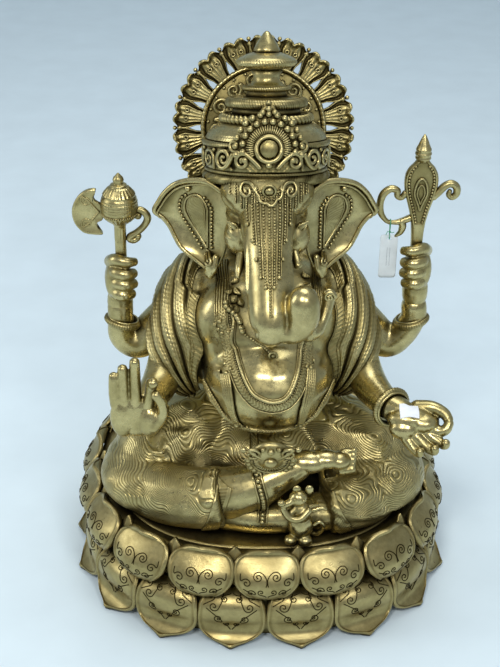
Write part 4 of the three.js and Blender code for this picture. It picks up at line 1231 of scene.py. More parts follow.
def on_band(line, radius, lift=0.0):
    """Drawn [along, height] rows wrapped round the crown's axis."""
    turn = line[:, 0] / radius
    r = radius + lift
    return np.stack([r * np.sin(turn), PIVOT[1] - r * np.cos(turn), line[:, 1]], 1)


def scroll_on_band(u, z, size, way, lead):
    """A scroll on the crown's band: u is its place along the band."""
    line = resample(spiral(u, z, size, 1.35, math.pi / 2, way, lead=lead), 1.1)
    return tube(on_band(line, BAND_RADIUS, 1.0), np.linspace(2.0, 1.2, len(line)), 10)


def build_crown():
    """The crown, tier by tier, from the band to the finial."""
    def dimples(angle, r, z):
        return r + 0.35 * np.sin(90 * angle) * np.sin(z * 1.7)
    band = turned([[50, 454.5], [58, 455], [60, 460], [62, 466], [63, 471], [64, 484], [64, 496], [50, 497]],
                  0, 5, 240, dimples)
    parts = [band, rope_ring(459.5, 61.5, 5.0, 80, 3, 0.2), rope_ring(466.5, 62, 2.2, 70),
             rope_ring(494.5, 64.5, 2.6, 60, 1, 0.2)]
    pitch = TAU * BAND_RADIUS / 16
    for k in range(-7, 9):
        if k == 0:
            continue
        way, middle = 1 if k % 2 else -1, k * pitch * 0.97
        parts.append(scroll_on_band(middle, 479.5, 8.8, way, (middle + 11, 471)))
        parts.append(beads(on_band(np.array([[(k + 0.5) * pitch, 489.5]]), BAND_RADIUS, 0.5), 2.2, 10))
    piece("crown_band_relief", leaned(joined(*parts)), BRASS, "crown_band")

    def scales(angle, r, z):
        return r + 0.5 * np.abs(np.sin(54 * angle + 3 * z)) * np.abs(np.sin(z * 1.3))
    rows = [[50, 497.5], [63, 498], [62, 501], [60, 505], [56.5, 509], [51, 512.5], [46, 515], [44, 522.5],
            [30, 522.6]]
    dome = turned(resample(np.array(rows), 1.0), 0, 5, 300, scales)
    piece("crown_dome_relief", leaned(joined(dome, rope_ring(518.8, 44.5, 4.4, 26, 1, 0.22))), BRASS,
          "crown_dome")
    waist = turned([[20, 523.5], [36, 523.6], [35, 528], [34, 530], [38, 532], [38, 538], [28, 540.7],
                    [14, 540.8]], 0, 5, 160)
    piece("crown_lower_tier_relief", leaned(joined(waist, rope_ring(534.6, 38, 5.0, 46, 2, 0.13))), BRASS,
          "crown_lower_tier")
    neck = turned([[10, 541.4], [22, 541.6], [20, 545], [21, 547.5], [22, 551], [17, 553.5], [14.5, 557],
                   [14, 562], [17, 567.6], [8, 567.7]], 0, 5, 120)
    piece("crown_upper_tier_relief", leaned(joined(neck, rope_ring(549.2, 22.5, 2.7, 30, 1, 0.12))), BRASS,
          "crown_upper_tier")
    rim = [[8, 568.2], [17, 568.4], [24, 570], [29, 572], [31, 575], [30.5, 577.5], [28, 580], [22, 583],
           [15, 585.2], [8, 585.7]]
    top = turned(resample(np.array(rim), 0.7), 0, 5, 300, lambda angle, r, z: r + 0.7
                 * np.abs(np.sin(32 * angle + (z - 570) * 0.5)) * ((z < 578.5) & (z > 569.5) & (r > 23)))
    piece("crown_umbrella_relief", leaned(top), BRASS, "crown_umbrella")
    tip = [[4, 586.3], [13.4, 586.4], [13.6, 588], [12.9, 590], [10.5, 594.5], [7.6, 599], [5, 603],
           [3, 605.6], [1.2, 606.8], [0.4, 607]]
    piece("crown_finial_cone", leaned(turned(resample(np.array(tip), 0.8), 0, 5, 96)), SKIN_BRASS,
          "crown_finial")
    piece("crown_crest_relief", leaned(build_crest()), BRASS, "crown_crest")


def crest_y(z):
    """How far forward the crest stands at a height."""
    return 5 - np.interp(z, [470, 490, 505, 520, 545], [68.5, 69, 66, 60, 51])


def build_crest():
    """The jewelled crest at the front of the crown."""
    t, u = np.linspace(0, 1, 60)[:, None], np.linspace(-1, 1, 61)[None]
    z = 470 + 69 * t
    half = np.interp(t, [0, 0.25, 0.4, 0.62, 0.82, 1], [20, 33, 32, 20, 11, 1.5])
    x = half * u
    y = crest_y(z + 0 * u) + x**2 / 150
    height = 0.5 * np.sin(x * 1.1) * np.sin(z * 1.2)
    outer = np.stack([x, y - height, z + 0 * u], -1)
    inward = np.zeros_like(outer)
    inward[..., 1] = 5.0
    parts = [shell(outer, 1.0, inward, 0.25 + 0.2 * np.sin(x * 1.1) * np.sin(z * 1.2))]
    centre_z = 493.5

    def at(a, r, lift):
        cx, cz = r * math.cos(a), centre_z + r * math.sin(a)
        return [cx, float(crest_y(cz)) - lift + cx**2 / 150, cz]
    disc = ball((0, 0, 0), (9.4, 4.2, 9.4), around=56)
    disc.points += (0, crest_y(centre_z) - 3.0, centre_z)
    hatch = np.sin(disc.points[:, 0] * 2.6) * np.sin(disc.points[:, 2] * 2.6)
    disc.points[:, 1] -= 0.4 * hatch
    disc.relief[:] = 0.25 - 0.25 * hatch
    parts.append(disc)
    circle = circle_of(72)
    parts.append(loop_tube([at(a, 12.4, 3.4) for a in circle], 2.5, 12))
    for a in np.linspace(-0.12 * math.pi, 1.12 * math.pi, 36):
        parts.append(tube([at(a, 15.2, 1.2), at(a, 18.2, 2.4), at(a, 21.6, 2.6), at(a, 22.6, 1.4)], 0.9, 6))
    for radius, size, count, reach in ((26.5, 3.7, 14, 0.14), (33.5, 3.6, 15, 0.06)):
        ring = [at(a, radius, 1.4) for a in np.linspace(-reach * math.pi, (1 + reach) * math.pi, count)]
        parts.append(beads([p for p in ring if abs(p[0]) < 34 and p[2] < 531], size, 14))
    parts.append(beads([[0, crest_y(532) - 2.5, 532], [0, crest_y(538) - 1, 538], [-6, crest_y(526) - 2, 529],
                        [6, crest_y(526) - 2, 529]], [3.4, 2.8, 3.0, 3.0], 12))
    parts.append(beads([at(-math.pi / 2, 16.0, 2.8)], 3.6, 14))
    for s in (-1, 1):
        for u0, z0, size, way, start, lead, thick in (
            (27, 480.5, 8.6, 1, 0.75 * math.pi, (9, 475), 2.6),
            (49, 482.5, 9.6, -1, -0.25 * math.pi, (38, 487), 2.6),
            (36, 496, 5.6, -1, -0.5 * math.pi, (30, 489), 2.1)):
            line = resample(spiral(u0, z0, size, 1.45, start, -way, lead=lead), 1.1)
            across = line[:, 0]
            angle = across / 67.0
            forward = np.minimum(5 - 67.5 * np.cos(angle) - 1.0, crest_y(line[:, 1]) + across**2 / 150 - 2.0)
            points = np.column_stack([s * 67.5 * np.sin(angle), forward, line[:, 1]])
            parts.append(tube(points, np.linspace(thick, thick * 0.7, len(points)), 12))
    return joined(*parts)


def halo_lobe():
    """One heart-shaped cup of the halo, pointing up from the halo's centre."""
    t, u = np.linspace(0, 1, 34)[:, None], np.linspace(-1, 1, 35)[None]
    width = np.interp(t, [0, 0.27, 0.5, 0.62, 0.82, 1], [8, 10.2, 14, 15.6, 16.8, 15])
    r = 65.5 + t * (30.0 + 4.4 * np.abs(np.sin(math.pi * u)) ** 0.8)
    x = width * u * (1 - 0.22 * smoothstep(t, 0.86, 1.0) * np.abs(u) ** 3)
    edge = np.maximum(np.abs(u), t)
    inside = smoothstep(0.76 - np.abs(u) - 1.15 * np.maximum(t - 0.60, 0)
                        * (1 - 0.5 * np.abs(np.sin(math.pi * u))), 0.0, 0.18)
    rim = 2.4 * bump(edge, 0.95, 0.05) - 2.0 * (1 - smoothstep(edge, 0.80, 0.92))
    height = rim + inside * (3.0 + 0.4 * np.cos(u * 20) * smoothstep(t, 0.05, 0.3))
    outer = np.stack([x, 74.5 - height, HALO_Z + r * np.ones_like(u)], -1)
    inward = np.zeros_like(outer)
    inward[..., 1] = 79.5 - outer[..., 1]
    relief = 0.6 * (1 - smoothstep(edge, 0.80, 0.92)) * (1 - inside) + inside * (0.18 - 0.16 * np.cos(u * 20))
    body = shell(outer, 1.0, inward, np.clip(relief, 0, 1))
    circle = circle_of(18)
    rings = [loop_tube([[s * 4.6 + 1.9 * math.cos(a), 71.6, HALO_Z + 85.5 + 1.9 * math.sin(a)]
                        for a in circle], 0.9, 8) for s in (-1, 1)]
    return joined(body, *rings)


def about_halo(mesh, angle):
    """A mesh turned round the halo's centre."""
    c, s = math.cos(angle), math.sin(angle)
    turn = np.array([[c, 0, s], [0, 1, 0], [-s, 0, c]])
    centre = np.array([0, 0, HALO_Z])
    return Mesh((mesh.points - centre) @ turn.T + centre, mesh.faces, mesh.relief)


def build_halo():
    """The halo's scroll disc and its lobed ring."""
    lobe, parts = halo_lobe(), []
    for k in range(HALO_LOBES):
        parts.append(about_halo(lobe, k * TAU / HALO_LOBES))
        knob = beads([[0, 75.5, HALO_Z + 92], [0, 75, HALO_Z + 97.2]], [3.2, 2.4], 12)
        parts.append(about_halo(knob, (k + 0.5) * TAU / HALO_LOBES))
    circle = circle_of(240)
    ring = np.column_stack([66.5 * np.sin(circle), np.full(240, 74.5), HALO_Z + 66.5 * np.cos(circle)])
    phi = circle_of(12)
    swell = 2.6 + 0.35 * np.sin(80 * circle[:, None] + phi[None])
    out = unit(ring - (0, 74.5, HALO_Z))
    points = ring[:, None] + swell[..., None] * (
        np.cos(phi)[None, :, None] * out[:, None] + np.sin(phi)[None, :, None] * np.array([0, -1.0, 0]))
    parts.append(Mesh(points, grid_faces(240, 12, True, True)))
    piece("halo_lobes", leaned(joined(*parts)), BRASS, "halo_ring")
    rings = [[1, 0], [64.3, 0], [64.3, -4], [62, -5], [1, -5]]
    angle = circle_of(120)
    plate_points = [[[r * math.sin(a), 79 + y, HALO_Z + r * math.cos(a)] for a in angle] for r, y in rings]
    plate = Mesh(plate_points, [grid_faces(len(rings), 120, wrap_columns=True), np.arange(120)[None, ::-1],
                                (4 * 120 + np.arange(120))[None]])
    plate.relief[:] = 0.5
    curls = []
    for k in range(14):
        line = resample(
            spiral(0, HALO_Z + 52, 8.4, 1.5, 0, 1 if k % 2 else -1, lead=(-11 if k % 2 else 11, HALO_Z + 38)),
            1.2)
        curl = tube(in_plane(line, 73.4), np.linspace(2.3, 1.4, len(line)), 8)
        curls.append(about_halo(curl, (k + 0.5) * TAU / 14))
    for k in range(28):
        leaf_line = tube(np.array([[0, 74.0, HALO_Z + r] for r in (41, 45, 49)]), [1.2, 3.0, 0.9], 10,
                         flat=0.6)
        curls.append(about_halo(leaf_line, k * TAU / 28))
        curls.append(about_halo(beads([[0, 74.0, HALO_Z + 61.2]], [1.9], 10), (k + 0.5) * TAU / 28))
    bosses = [tube([[0, 75, z], [0, 66, z]], 8.5, 24) for z in (490, 468)]
    piece("halo_disc_relief", leaned(joined(plate, *curls, *bosses)), BRASS, "halo_disc")


# ------------------------------------------------------------------ what the rear hands hold
MACE_X = -156.0
GOAD_X = 166.0
HOLD_Y = 10.0


def plate_from(outline, y, half, rim=1.2):
    """A flat casting with a softened rim from an outline in the xz plane, filled towards its middle."""
    outline = np.asarray(outline, float)
    centre = outline.mean(0)
    steps = [(1.0, 0.0), (0.985, half * 0.75), (0.94, half), (0.9, half), (0.86, half - rim * 0.5),
             (0.5, half - rim * 0.5), (0.04, half - rim * 0.4)]
    rows = [(s, -h) for s, h in reversed(steps)] + [(s, h) for s, h in steps[1:]]
    points = np.array([[[*(centre + (p - centre) * s)[:1], y + h, (centre + (p - centre) * s)[1]]
                        for p in outline] for s, h in rows])
    n = len(outline)
    caps = [np.arange(n)[None, ::-1], ((len(rows) - 1) * n + np.arange(n))[None, :]]
    return Mesh(points, [grid_faces(len(rows), n, wrap_columns=True)] + caps)


def closed_spline(knots, step):
    """Evenly spaced points on a smooth closed curve through [x, z] knots."""
    knots = np.asarray(knots, float)
    many = np.vstack([knots, knots, knots])
    full = spline(np.column_stack([many, np.zeros(len(many))]), 0.2)
    start = np.argmin(np.abs(full[:, :2] - knots[0]).sum(1)[len(full) // 4:len(full) // 2]) + len(full) // 4
    tail = full[start:, :2]
    end = np.argmin(np.abs(tail - knots[0]).sum(1)[len(full) // 5:]) + len(full) // 5
    return resample(tail[:end], step)[:-1]


def build_mace():
    """The mace in the right rear hand: shaft, pot, axe blade and scroll handle."""
    profile = [[0.8, 380], [6.4, 380.2], [6.4, 398], [7.4, 400], [8.2, 402], [13, 405.5], [17, 409.5],
               [18.6, 413], [19.6, 416], [20, 421], [19.6, 427], [18.4, 432], [17.2, 433.4], [17.4, 434.6],
               [15.4, 437.5], [11.5, 442], [8.8, 444.2], [8.8, 446], [5.4, 447.2], [5.6, 449], [6.0, 451.5],
               [5.2, 454], [2.6, 457], [0.8, 459]]

    def ribs(angle, r, z):
        upper = ((z > 435) & (z < 443)) * np.abs(np.sin(angle * 11)) * 1.0
        lower = ((z > 402) & (z < 412)) * np.abs(np.sin(angle * 11)) * 0.9
        middle = ((z > 417) & (z < 431)) * 0.4 * np.sin(angle * 24 + z) * np.sin(angle * 24 - z)
        grip = (z < 397) * 0.5 * np.abs(np.sin(angle * 6))
        return r + upper + lower + middle - grip
    pot = turned(resample(np.array(profile), 0.6), MACE_X, HOLD_Y, 144, ribs)
    ring = circle_of(48)
    pearls = beads(np.column_stack([MACE_X + 19.0 * np.sin(ring), HOLD_Y - 19.0 * np.cos(ring),
                                    np.full(48, 413.2)]), 1.3, 8)
    piece("mace_pot_relief", joined(pot, pearls), BRASS, ["mace_pot", "mace_shaft"])
    shaft = tube([[MACE_X, HOLD_Y, 322], [MACE_X, HOLD_Y, 350], [MACE_X, HOLD_Y, 384]], 6.2, 24)
    piece("mace_stem", shaft, BRASS, None)
    blade = closed_spline([[-180, 441], [-190, 440], [-200, 432], [-206.5, 418], [-205, 403], [-196, 391],
                           [-184, 388], [-174.5, 388.5], [-179, 395], [-180, 402], [-174, 406], [-173, 416],
                           [-174, 423], [-181, 428], [-183, 434]], 1.2)
    curls = []
    for z0, way in ((428, 1), (402, -1)):
        line = resample(spiral(-191, z0, 5.5, 1.4, math.pi, way, lead=(-178, 415)), 1.1)
        for side in (-1, 1):
            curls.append(tube(in_plane(line, HOLD_Y + side * 2.2), np.linspace(1.4, 0.8, len(line)), 8))
    piece("axe_blade_relief", joined(plate_from(blade, HOLD_Y, 3.0), *curls), BRASS, "mace_axe_blade")
    handle = spline([[-143, 10, 413, 3.4], [-136, 10, 417, 3.6], [-129.5, 10, 414, 4.0], [-126, 10, 407, 4.2],
                     [-130, 10, 398, 3.8], [-138, 10, 390, 3.8], [-144, 10, 386, 4.2], [-146, 10, 383, 4.4],
                     [-141.5, 10, 380.8, 3.8], [-137, 10, 383, 3.0]], 1.5)
    knobs = beads([[-137, 10, 385.5], [-136.5, 10, 410]], [4.0, 4.4], 16)
    piece("mace_scroll_bar", joined(tube(handle, handle[:, 3], 16), knobs), SKIN_BRASS, "mace_scroll")


PADDLE = [[366, 6.2], [380, 6.3], [392, 6.8], [402, 7.8], [412, 9.8], [422, 12.4], [432, 15.4], [442, 17.4],
          [450, 18], [458, 17.2], [465, 14], [470, 9.5], [474, 6.5]]


def build_goad():
    """The goad in the left rear hand: shaft, paddle, finial, side loop and scroll."""
    rows = spline([[z, w, 0] for z, w in PADDLE], 1.2)
    t, u = rows[:, 0][:, None], np.linspace(-1, 1, 31)[None]
    half = rows[:, 1][:, None]
    edge = 1 - np.abs(u)
    thick = 2.0 + 4.2 * np.sqrt(np.clip(1 - np.abs(u) ** 2.4, 0, 1)) * (1 - 0.35 * smoothstep(t, 400, 430))
    x = GOAD_X + half * u
    lip = 1.1 * bump(edge * half, 2.0, 1.0) * (t > 398) - 0.8 * (edge * half > 3.5) * (t > 402)
    front = np.stack([x, HOLD_Y - thick - lip, t + 0 * u], -1)
    inward = np.zeros_like(front)
    inward[..., 1] = 2 * (HOLD_Y - front[..., 1]) - 2 * lip
    body = shell(front, 1.0, inward, 0.4 * (edge * half > 3.2) * (t > 402))
    skin = Skin(body)
    parts = [body]
    for s in (-1, 1):
        line = np.column_stack([GOAD_X + s * (rows[:, 1] - 4.6), np.full(len(rows), -50.0),
                                rows[:, 0]])[(rows[:, 0] > 404) & (rows[:, 0] < 468)]
        place, _ = skin.lay(resample(line, 3.4), lift=0.5)
        parts.append(beads(place, 1.6, 8))
    for size, radius in ((7.0, 1.3), (4.2, 1.0)):
        a = circle_of(60)
        drop = np.column_stack([GOAD_X + size * np.sin(a) * (1 - 0.75 * smoothstep(-np.cos(a), -0.2, 1.0)),
                                np.full(60, -50.0), 436 + size * 2.6 * np.cos(a)])
        place, _ = skin.lay(drop, lift=0.6)
        parts.append(loop_tube(place, radius, 8))
    piece("goad_paddle_relief", joined(*parts), BRASS, ["goad_paddle", "goad_shaft"])
    stem = tube([[GOAD_X, HOLD_Y, 334], [GOAD_X, HOLD_Y, 355], [GOAD_X, HOLD_Y, 376]], 6.2, 24)
    piece("goad_stem", stem, BRASS, None)
    tip = [[1, 472.5], [6.4, 473], [8.6, 476.5], [8.0, 479], [9, 481.5], [8, 484], [8.3, 486.5], [6.6, 490],
           [4.6, 495], [2.4, 500], [0.6, 502.8]]
    piece("goad_finial_cone", turned(resample(np.array(tip), 0.6), GOAD_X, HOLD_Y, 64), BRASS, "goad_finial")
    arm = spline([[180, 10, 432, 4.6], [186, 10, 438, 4.4], [191.5, 10, 444, 4.2], [198, 10, 447, 4.2],
                  [204, 10, 443.5, 4.2], [205, 10, 436, 4.0], [200.5, 10, 431.5, 3.6],
                  [196.5, 10, 434.5, 3.0], [197.5, 10, 438.5, 2.6]], 1.2)
    piece("goad_scroll_bar", tube(arm, arm[:, 3], 16), SKIN_BRASS, "goad_scroll")
    loop = spline([[150, 10, 436, 3.6], [146, 10, 431, 3.2], [141.5, 10, 433, 3.4], [141, 10, 439, 3.8],
                   [134, 10, 441, 4.0], [126.5, 10, 435, 4.2], [123.5, 10, 424, 4.0], [125, 10, 413, 3.6],
                   [130, 10, 405.2, 2.7], [133.6, 10, 402.5, 2.5], [136, 10, 402, 2.5],
                   [138.6, 10, 401.9, 2.5], [143, 10, 402, 3.0], [150, 10, 404, 3.6],
                   [157, 10, 407, 4.0]], 0.8)
    hook = spline(
        [[148, 10, 403.5, 4.0], [149.5, 10, 397, 4.2], [147.5, 10, 390, 3.2], [142.5, 10, 385.5, 1.4]], 0.8)
    piece("goad_loop_bar",
          joined(tube(loop, loop[:, 3], 16, up=(0, 1, 0)), tube(hook, hook[:, 3], 14, up=(0, 1, 0))),
          SKIN_BRASS, "goad_loop")


# ------------------------------------------------------------------ cloth and jewels on the body
SHAWL_INNER = [[60, 34, 352], [70, 10, 362], [80, -24, 357], [84, -48, 337], [79, -62, 312], [73, -66, 292],
               [68, -66, 266], [68, -60, 242], [77, -52, 226]]
SHAWL_CREST = [[68, 50, 342], [82, 28, 357], [95, -6, 353], [104, -32, 328], [105, -50, 302], [100, -60, 277],
               [94, -62, 255], [87, -60, 237], [80, -52, 222]]
SHAWL_OUTER = [[72, 62, 320], [94, 50, 331], [113, 26, 320], [124, 2, 298], [126, -20, 281], [120, -44, 262],
               [109, -58, 245], [96, -58, 230], [82, -53, 221]]
SHAWL_PLEATS = 8.0


def build_shawl(skin):
    """Cloth over the left shoulder: deep pleats that sweep from behind the neck down to the elbow."""
    rows, columns = 170, 150
    t, u = np.linspace(0, 1, rows)[:, None], np.linspace(0, 1, columns)[None]
    rails = []
    for knots in (SHAWL_INNER, SHAWL_CREST, SHAWL_OUTER):
        line = spline(knots, 1.0)
        if knots is SHAWL_INNER:
            line = skin.near(line, -0.5)[0]
        rails.append(np.stack([np.interp(t[:, 0], np.linspace(0, 1, len(line)), line[:, k])
                               for k in range(3)], -1)[:, None])
    blend = [((1 - u) * (1 - 2 * u))[..., None], (4 * u * (1 - u))[..., None], (u * (2 * u - 1))[..., None]]
    grid = sum(b * r for b, r in zip(blend, rails))
    out = unit(np.cross(np.gradient(grid, axis=0), np.gradient(grid, axis=1)))
    out *= np.where(((grid - (62, -6, 300)) * out).sum(-1, keepdims=True) < 0, -1, 1)
    sweep = u * SHAWL_PLEATS + 5.0 * t + 0.35 * np.sin(5 * t + 2 * u)
    wave = np.abs(np.sin(sweep * math.pi / 2 + 0.3))
    field = smoothstep(u, 0.13, 0.19)
    pleat = (6.2 * wave ** 0.75 - 2.6) * field * (1 - 0.45 * smoothstep(t, 0.8, 1.0))
    weave = (0.22 * np.sin(t * 300 + 40 * u) + 0.3 * np.sin(sweep * 17)) * field * smoothstep(wave, 0.2, 0.5)
    band = (1 - field) * (0.45 * np.sin(t * 260 + 40 * u) * (u > 0.02) + 0.8)
    rails_up = 1.2 * bump(u, 0.015, 0.012) + 1.0 * bump(u, 0.135, 0.012) + 1.6 * bump(u, 0.985, 0.02) + 0 * t
    height = pleat + weave + band + rails_up
    relief = np.clip(0.75 * (1 - wave) ** 1.3 * field + 0.25 * (1 - field) - 0.4 * weave * field, 0, 1)
    return shell(grid + out * height[..., None], 8.0, -out, relief)


def outward_faces(mesh):
    """The same mesh with its faces turned so that they look out."""
    a, b, c = (mesh.points[mesh.faces[0][:, k]] for k in (0, 1, 2))
    volume = (np.cross(b - a, c - a) * a).sum()
    return mesh if volume > 0 else Mesh(mesh.points, [g[:, ::-1] for g in mesh.faces], mesh.relief)


def build_back_cloth(skin):
    """The shawl's middle, hanging in a fold across the upper back."""
    t, u = np.linspace(0, 1, 70)[:, None], np.linspace(-1, 1, 120)[None]
    dip = 1 - np.abs(u) ** 2.2
    points = np.stack([74 * u + 0 * t, 90 + 0 * u * t, 350 - (8 + 26 * dip) - t * (26 + 34 * dip)], -1)
    place, out = skin.lay(points, way=(0, -1, 0))
    wave = np.abs(np.sin((t * 4.5 + 0.3 * np.sin(3 * u)) * math.pi / 2))
    height = 2.2 + 3.6 * wave + 0.2 * np.sin(u * 160 + 6 * t)
    return outward_faces(shell(place + out * height[..., None], 7.0, -out, 0.6 * (1 - wave) ** 1.5 + 0 * u))


def strap(skin, knots, width, pattern, lift=1.4, step=1.0, columns=17, scale=1.6):
    """A flat worked band on the body, in cords that run along it or leaves that cross it."""
    line = spline(knots, step)
    side = frames(line, (0, -1, 0))[1]
    u = np.linspace(-1, 1, columns)
    points = line[:, None] + side[:, None] * (width / 2 * u[None, :, None])
    place, out = skin.near(points)
    run = (np.arange(len(line)) * step)[:, None]
    if pattern == "cords":
        h = 1.3 * np.abs(np.sin(u[None] * math.pi * 2.5)) + 0.2 * np.sin(run * 2.6 + 2 * u[None])
    else:
        across = np.abs(u[None])
        h = np.abs(np.sin(run / scale + 2.4 * across)) * (across < 0.8) + 0.7 * bump(across, 0.92, 0.08)
    outer = place + out * (lift + h)[..., None]
    low = 0.5 * (1 - np.clip(h, 0, 1))
    return shell(outer, lift + 2.5, -out, low)


def rope_line(skin, knots, radius, pitch=4.0, lift=0.8, step=0.8):
    """A twisted cord laid on the body."""
    line, _ = skin.near(spline(knots, step), lift)
    line = resample(line, step)
    return tube(line, radius, 12, (0, -1, 0), surface=lambda a, s: radius * 0.22
                * np.abs(np.sin(a * 1.0 + s / pitch * math.pi)))


def flower(centre, normal, radius, petals=10):
    """A round boss in a ring of small beads."""
    normal = unit(np.asarray(normal, float))
    a = unit(np.cross(normal, (0.1, 0.2, 1)))
    b = np.cross(normal, a)
    angle = circle_of(petals)
    ring = np.asarray(centre) + radius * 0.78 * (
        np.cos(angle)[:, None] * a + np.sin(angle)[:, None] * b) + normal * 0.4
    turn = np.stack([a, b, normal], 1)
    boss = ball((0, 0, 0), (radius * 0.5, radius * 0.5, radius * 0.55), around=16)
    plate = ball((0, 0, 0), (radius * 0.95, radius * 0.95, 1.4), around=24)
    return joined(boss.moved(np.asarray(centre) + normal * 0.8, turn), plate.moved(centre, turn),
                  beads(ring, radius * 0.2, 8))


def chain_of_flowers(skin, places, radius):
    """Flowers set on the body at the given places."""
    out = []
    for p in places:
        place, normal = skin.near([p])
        out.append(flower(place[0] + normal[0] * 1.2, normal[0], radius))
    return joined(*out)


GARLAND_INNER = [[-36, -80, 350], [-36, -84, 325], [-33, -82, 307], [-31, -96, 299], [-27, -112, 290],
                 [-22, -123, 280], [-13, -131, 270], [3, -135, 264], [17, -133, 266], [26, -127, 276],
                 [31, -119, 286], [34, -106, 296], [37, -88, 310], [40, -76, 330]]
GARLAND_BAND = [[-46, -76, 345], [-46, -86, 326], [-41, -86, 308], [-39, -98, 296], [-34, -112, 286],
                [-26, -125, 273], [-14, -133, 262], [3, -136, 257], [18, -134, 259], [30, -129, 268],
                [37, -120, 281], [41, -106, 292], [44, -88, 306], [46, -74, 330]]


def offset_line(skin, knots, shift, lift):
    """A line on the skin set off sideways from another, towards the outside of its loop."""
    line = spline(knots, 1.0)
    centre = np.array([3.0, 0.0, 315.0])
    out = unit((line - centre) * (1, 0, 1))
    place, _ = skin.near(line + out * shift, lift)
    return place


def tassel_cords(skin, knots, widths, count=5):
    """A flat bundle of cords that hangs on the body."""
    line = spline(knots, 1.5)
    width = np.interp(np.linspace(0, 1, len(line)), np.linspace(0, 1, len(widths)), widths)
    parts = []
    for k in range(count):
        row = line + (1, 0, 0) * (width * ((k / (count - 1)) - 0.5))[:, None]
        parts.append(rope_line(skin, row, 1.5, 3.0, 2.2))
    return joined(*parts)


def build_jewels(skin):
    """The belly garland, tassels, necklace and the rolled tip of the trunk."""
    band = strap(skin, GARLAND_BAND, 9.5, "leaves", 1.8, scale=1.2, columns=25)
    edge = tube(resample(offset_line(skin, GARLAND_BAND, 5.6, 1.6), 1.0), 1.0, 10)
    rope = rope_line(skin, GARLAND_INNER, 1.9, 3.2, 1.4)
    inner = tube(resample(offset_line(skin, GARLAND_INNER, -2.6, 0.6), 1.0), 0.9, 8)
    pearls, _ = skin.near(resample(offset_line(skin, GARLAND_INNER, 3.0, 0.0), 2.6), 2.2)
    ribs = [strap(skin, [[-46, -10, 364], [-48, -56, 356], [-49, -72, 346], [-49, -84, 332], [-47, -88, 318]],
                  17, "cords", 1.6, columns=41),
            strap(skin, [[-46, -88, 320], [-44, -88, 306], [-43, -96, 292], [-43, -106, 283]], 15, "leaves",
                  1.8, scale=1.2, columns=31),
            strap(skin, [[56, -8, 362], [57, -44, 356], [55, -66, 346], [51, -80, 330], [48, -84, 316]], 13,
                  "cords", 1.6, columns=33),
            strap(skin, [[48, -84, 318], [46, -90, 304], [45, -98, 294], [45, -106, 288]], 12, "leaves", 1.8,
                  scale=1.2, columns=31)]
    bosses = chain_of_flowers(skin, [[-51, -88, 332], [-43, -107, 283], [45, -106, 288]], 6.0)
    studs, _ = skin.near([[-53, -90, 322], [-49, -90, 318], [-57, -86, 327], [-44, -90, 322],
                          [-47, -100, 291], [-39, -108, 289], [-50, -98, 280], [49, -98, 292],
                          [41, -108, 291]], 2.4)
    piece("belly_garland_bands", joined(band, edge, rope, inner, *ribs, bosses, beads(pearls, 1.0, 8),
                                        beads(studs, 2.3, 10)), BRASS, "belly_garland")
    hung = {"right": (
                [[-43, -105, 280], [-41, -114, 268], [-39, -119, 255], [-37, -120, 241], [-33, -120, 228]],
                [13, 15, 13, 10, 7]),
            "left": ([[45, -105, 286], [44, -114, 275], [42, -121, 262], [39, -124, 248], [36, -121, 230]],
                     [11, 14, 13, 10, 6])}
    for side, (knots, widths) in hung.items():
        foot = chain_of_flowers(skin, [knots[-1][:2] + [knots[-1][2] - 6]], 7.0 if side == "right" else 5.6)
        piece(side + "_tassel_cords", joined(tassel_cords(skin, knots, widths), foot), BRASS,
              side + "_tassel")
    leaves = [leaf(skin, *row) for row in LEAVES]
    chain, _ = skin.near(spline([[-43, -73, 350], [-42, -77, 345], [-37, -78, 341], [-33, -79, 337],
                                 [-29, -78, 331], [-24, -74, 323], [-19, -72, 314]], 5.0), 4.0)
    links, _ = skin.near(spline([[-17, -76, 312], [-8, -91, 310], [2, -103, 305]], 3.0), 2.0)
    drop, _ = skin.near([[6, -107, 303]], 1.6)
    ring = circle_of(20)
    hoop = loop_tube(drop[0] + np.stack([4.2 * np.cos(ring), -0.4 * np.sin(ring), 4.2 * np.sin(ring)], 1),
                     1.2, 8)
    piece("leaf_necklace", joined(*leaves, beads(chain, 3.1, 12), beads(links, 1.6, 8), hoop,
                                  ball(drop[0], (2.2, 2.0, 2.2), around=14)), BRASS, "necklace")
    coil = resample(spiral(60, 381, 5.8, 1.5, 0, 1), 1.0)
    points = in_plane(coil, -123.5)
    rolled = joined(tube(points, np.linspace(2.3, 1.6, len(points)), 10),
                    ball(points[-1], (2.4, 2.4, 2.4), around=12), ball((60, -119.5, 381), (7.2, 4.5, 7.2)))
    piece("rolled_trunk_tip", rolled, SKIN_BRASS, None)


# Place, length and turn in degrees of each leaf of the collar.
LEAVES = [((-34, -46, 362), 11, -20), ((-30, -58, 355), 11, 10), ((-34, -66, 348), 11, -30),
          ((-27, -66, 343), 11, 20), ((-40, -60, 356), 9, -60), ((-32, -72, 338), 10, 0),
          ((-40, -74, 340), 9, -40), ((42, -36, 360), 10, 30), ((44, -52, 357), 10, -20),
          ((40, -62, 348), 10, 40)]


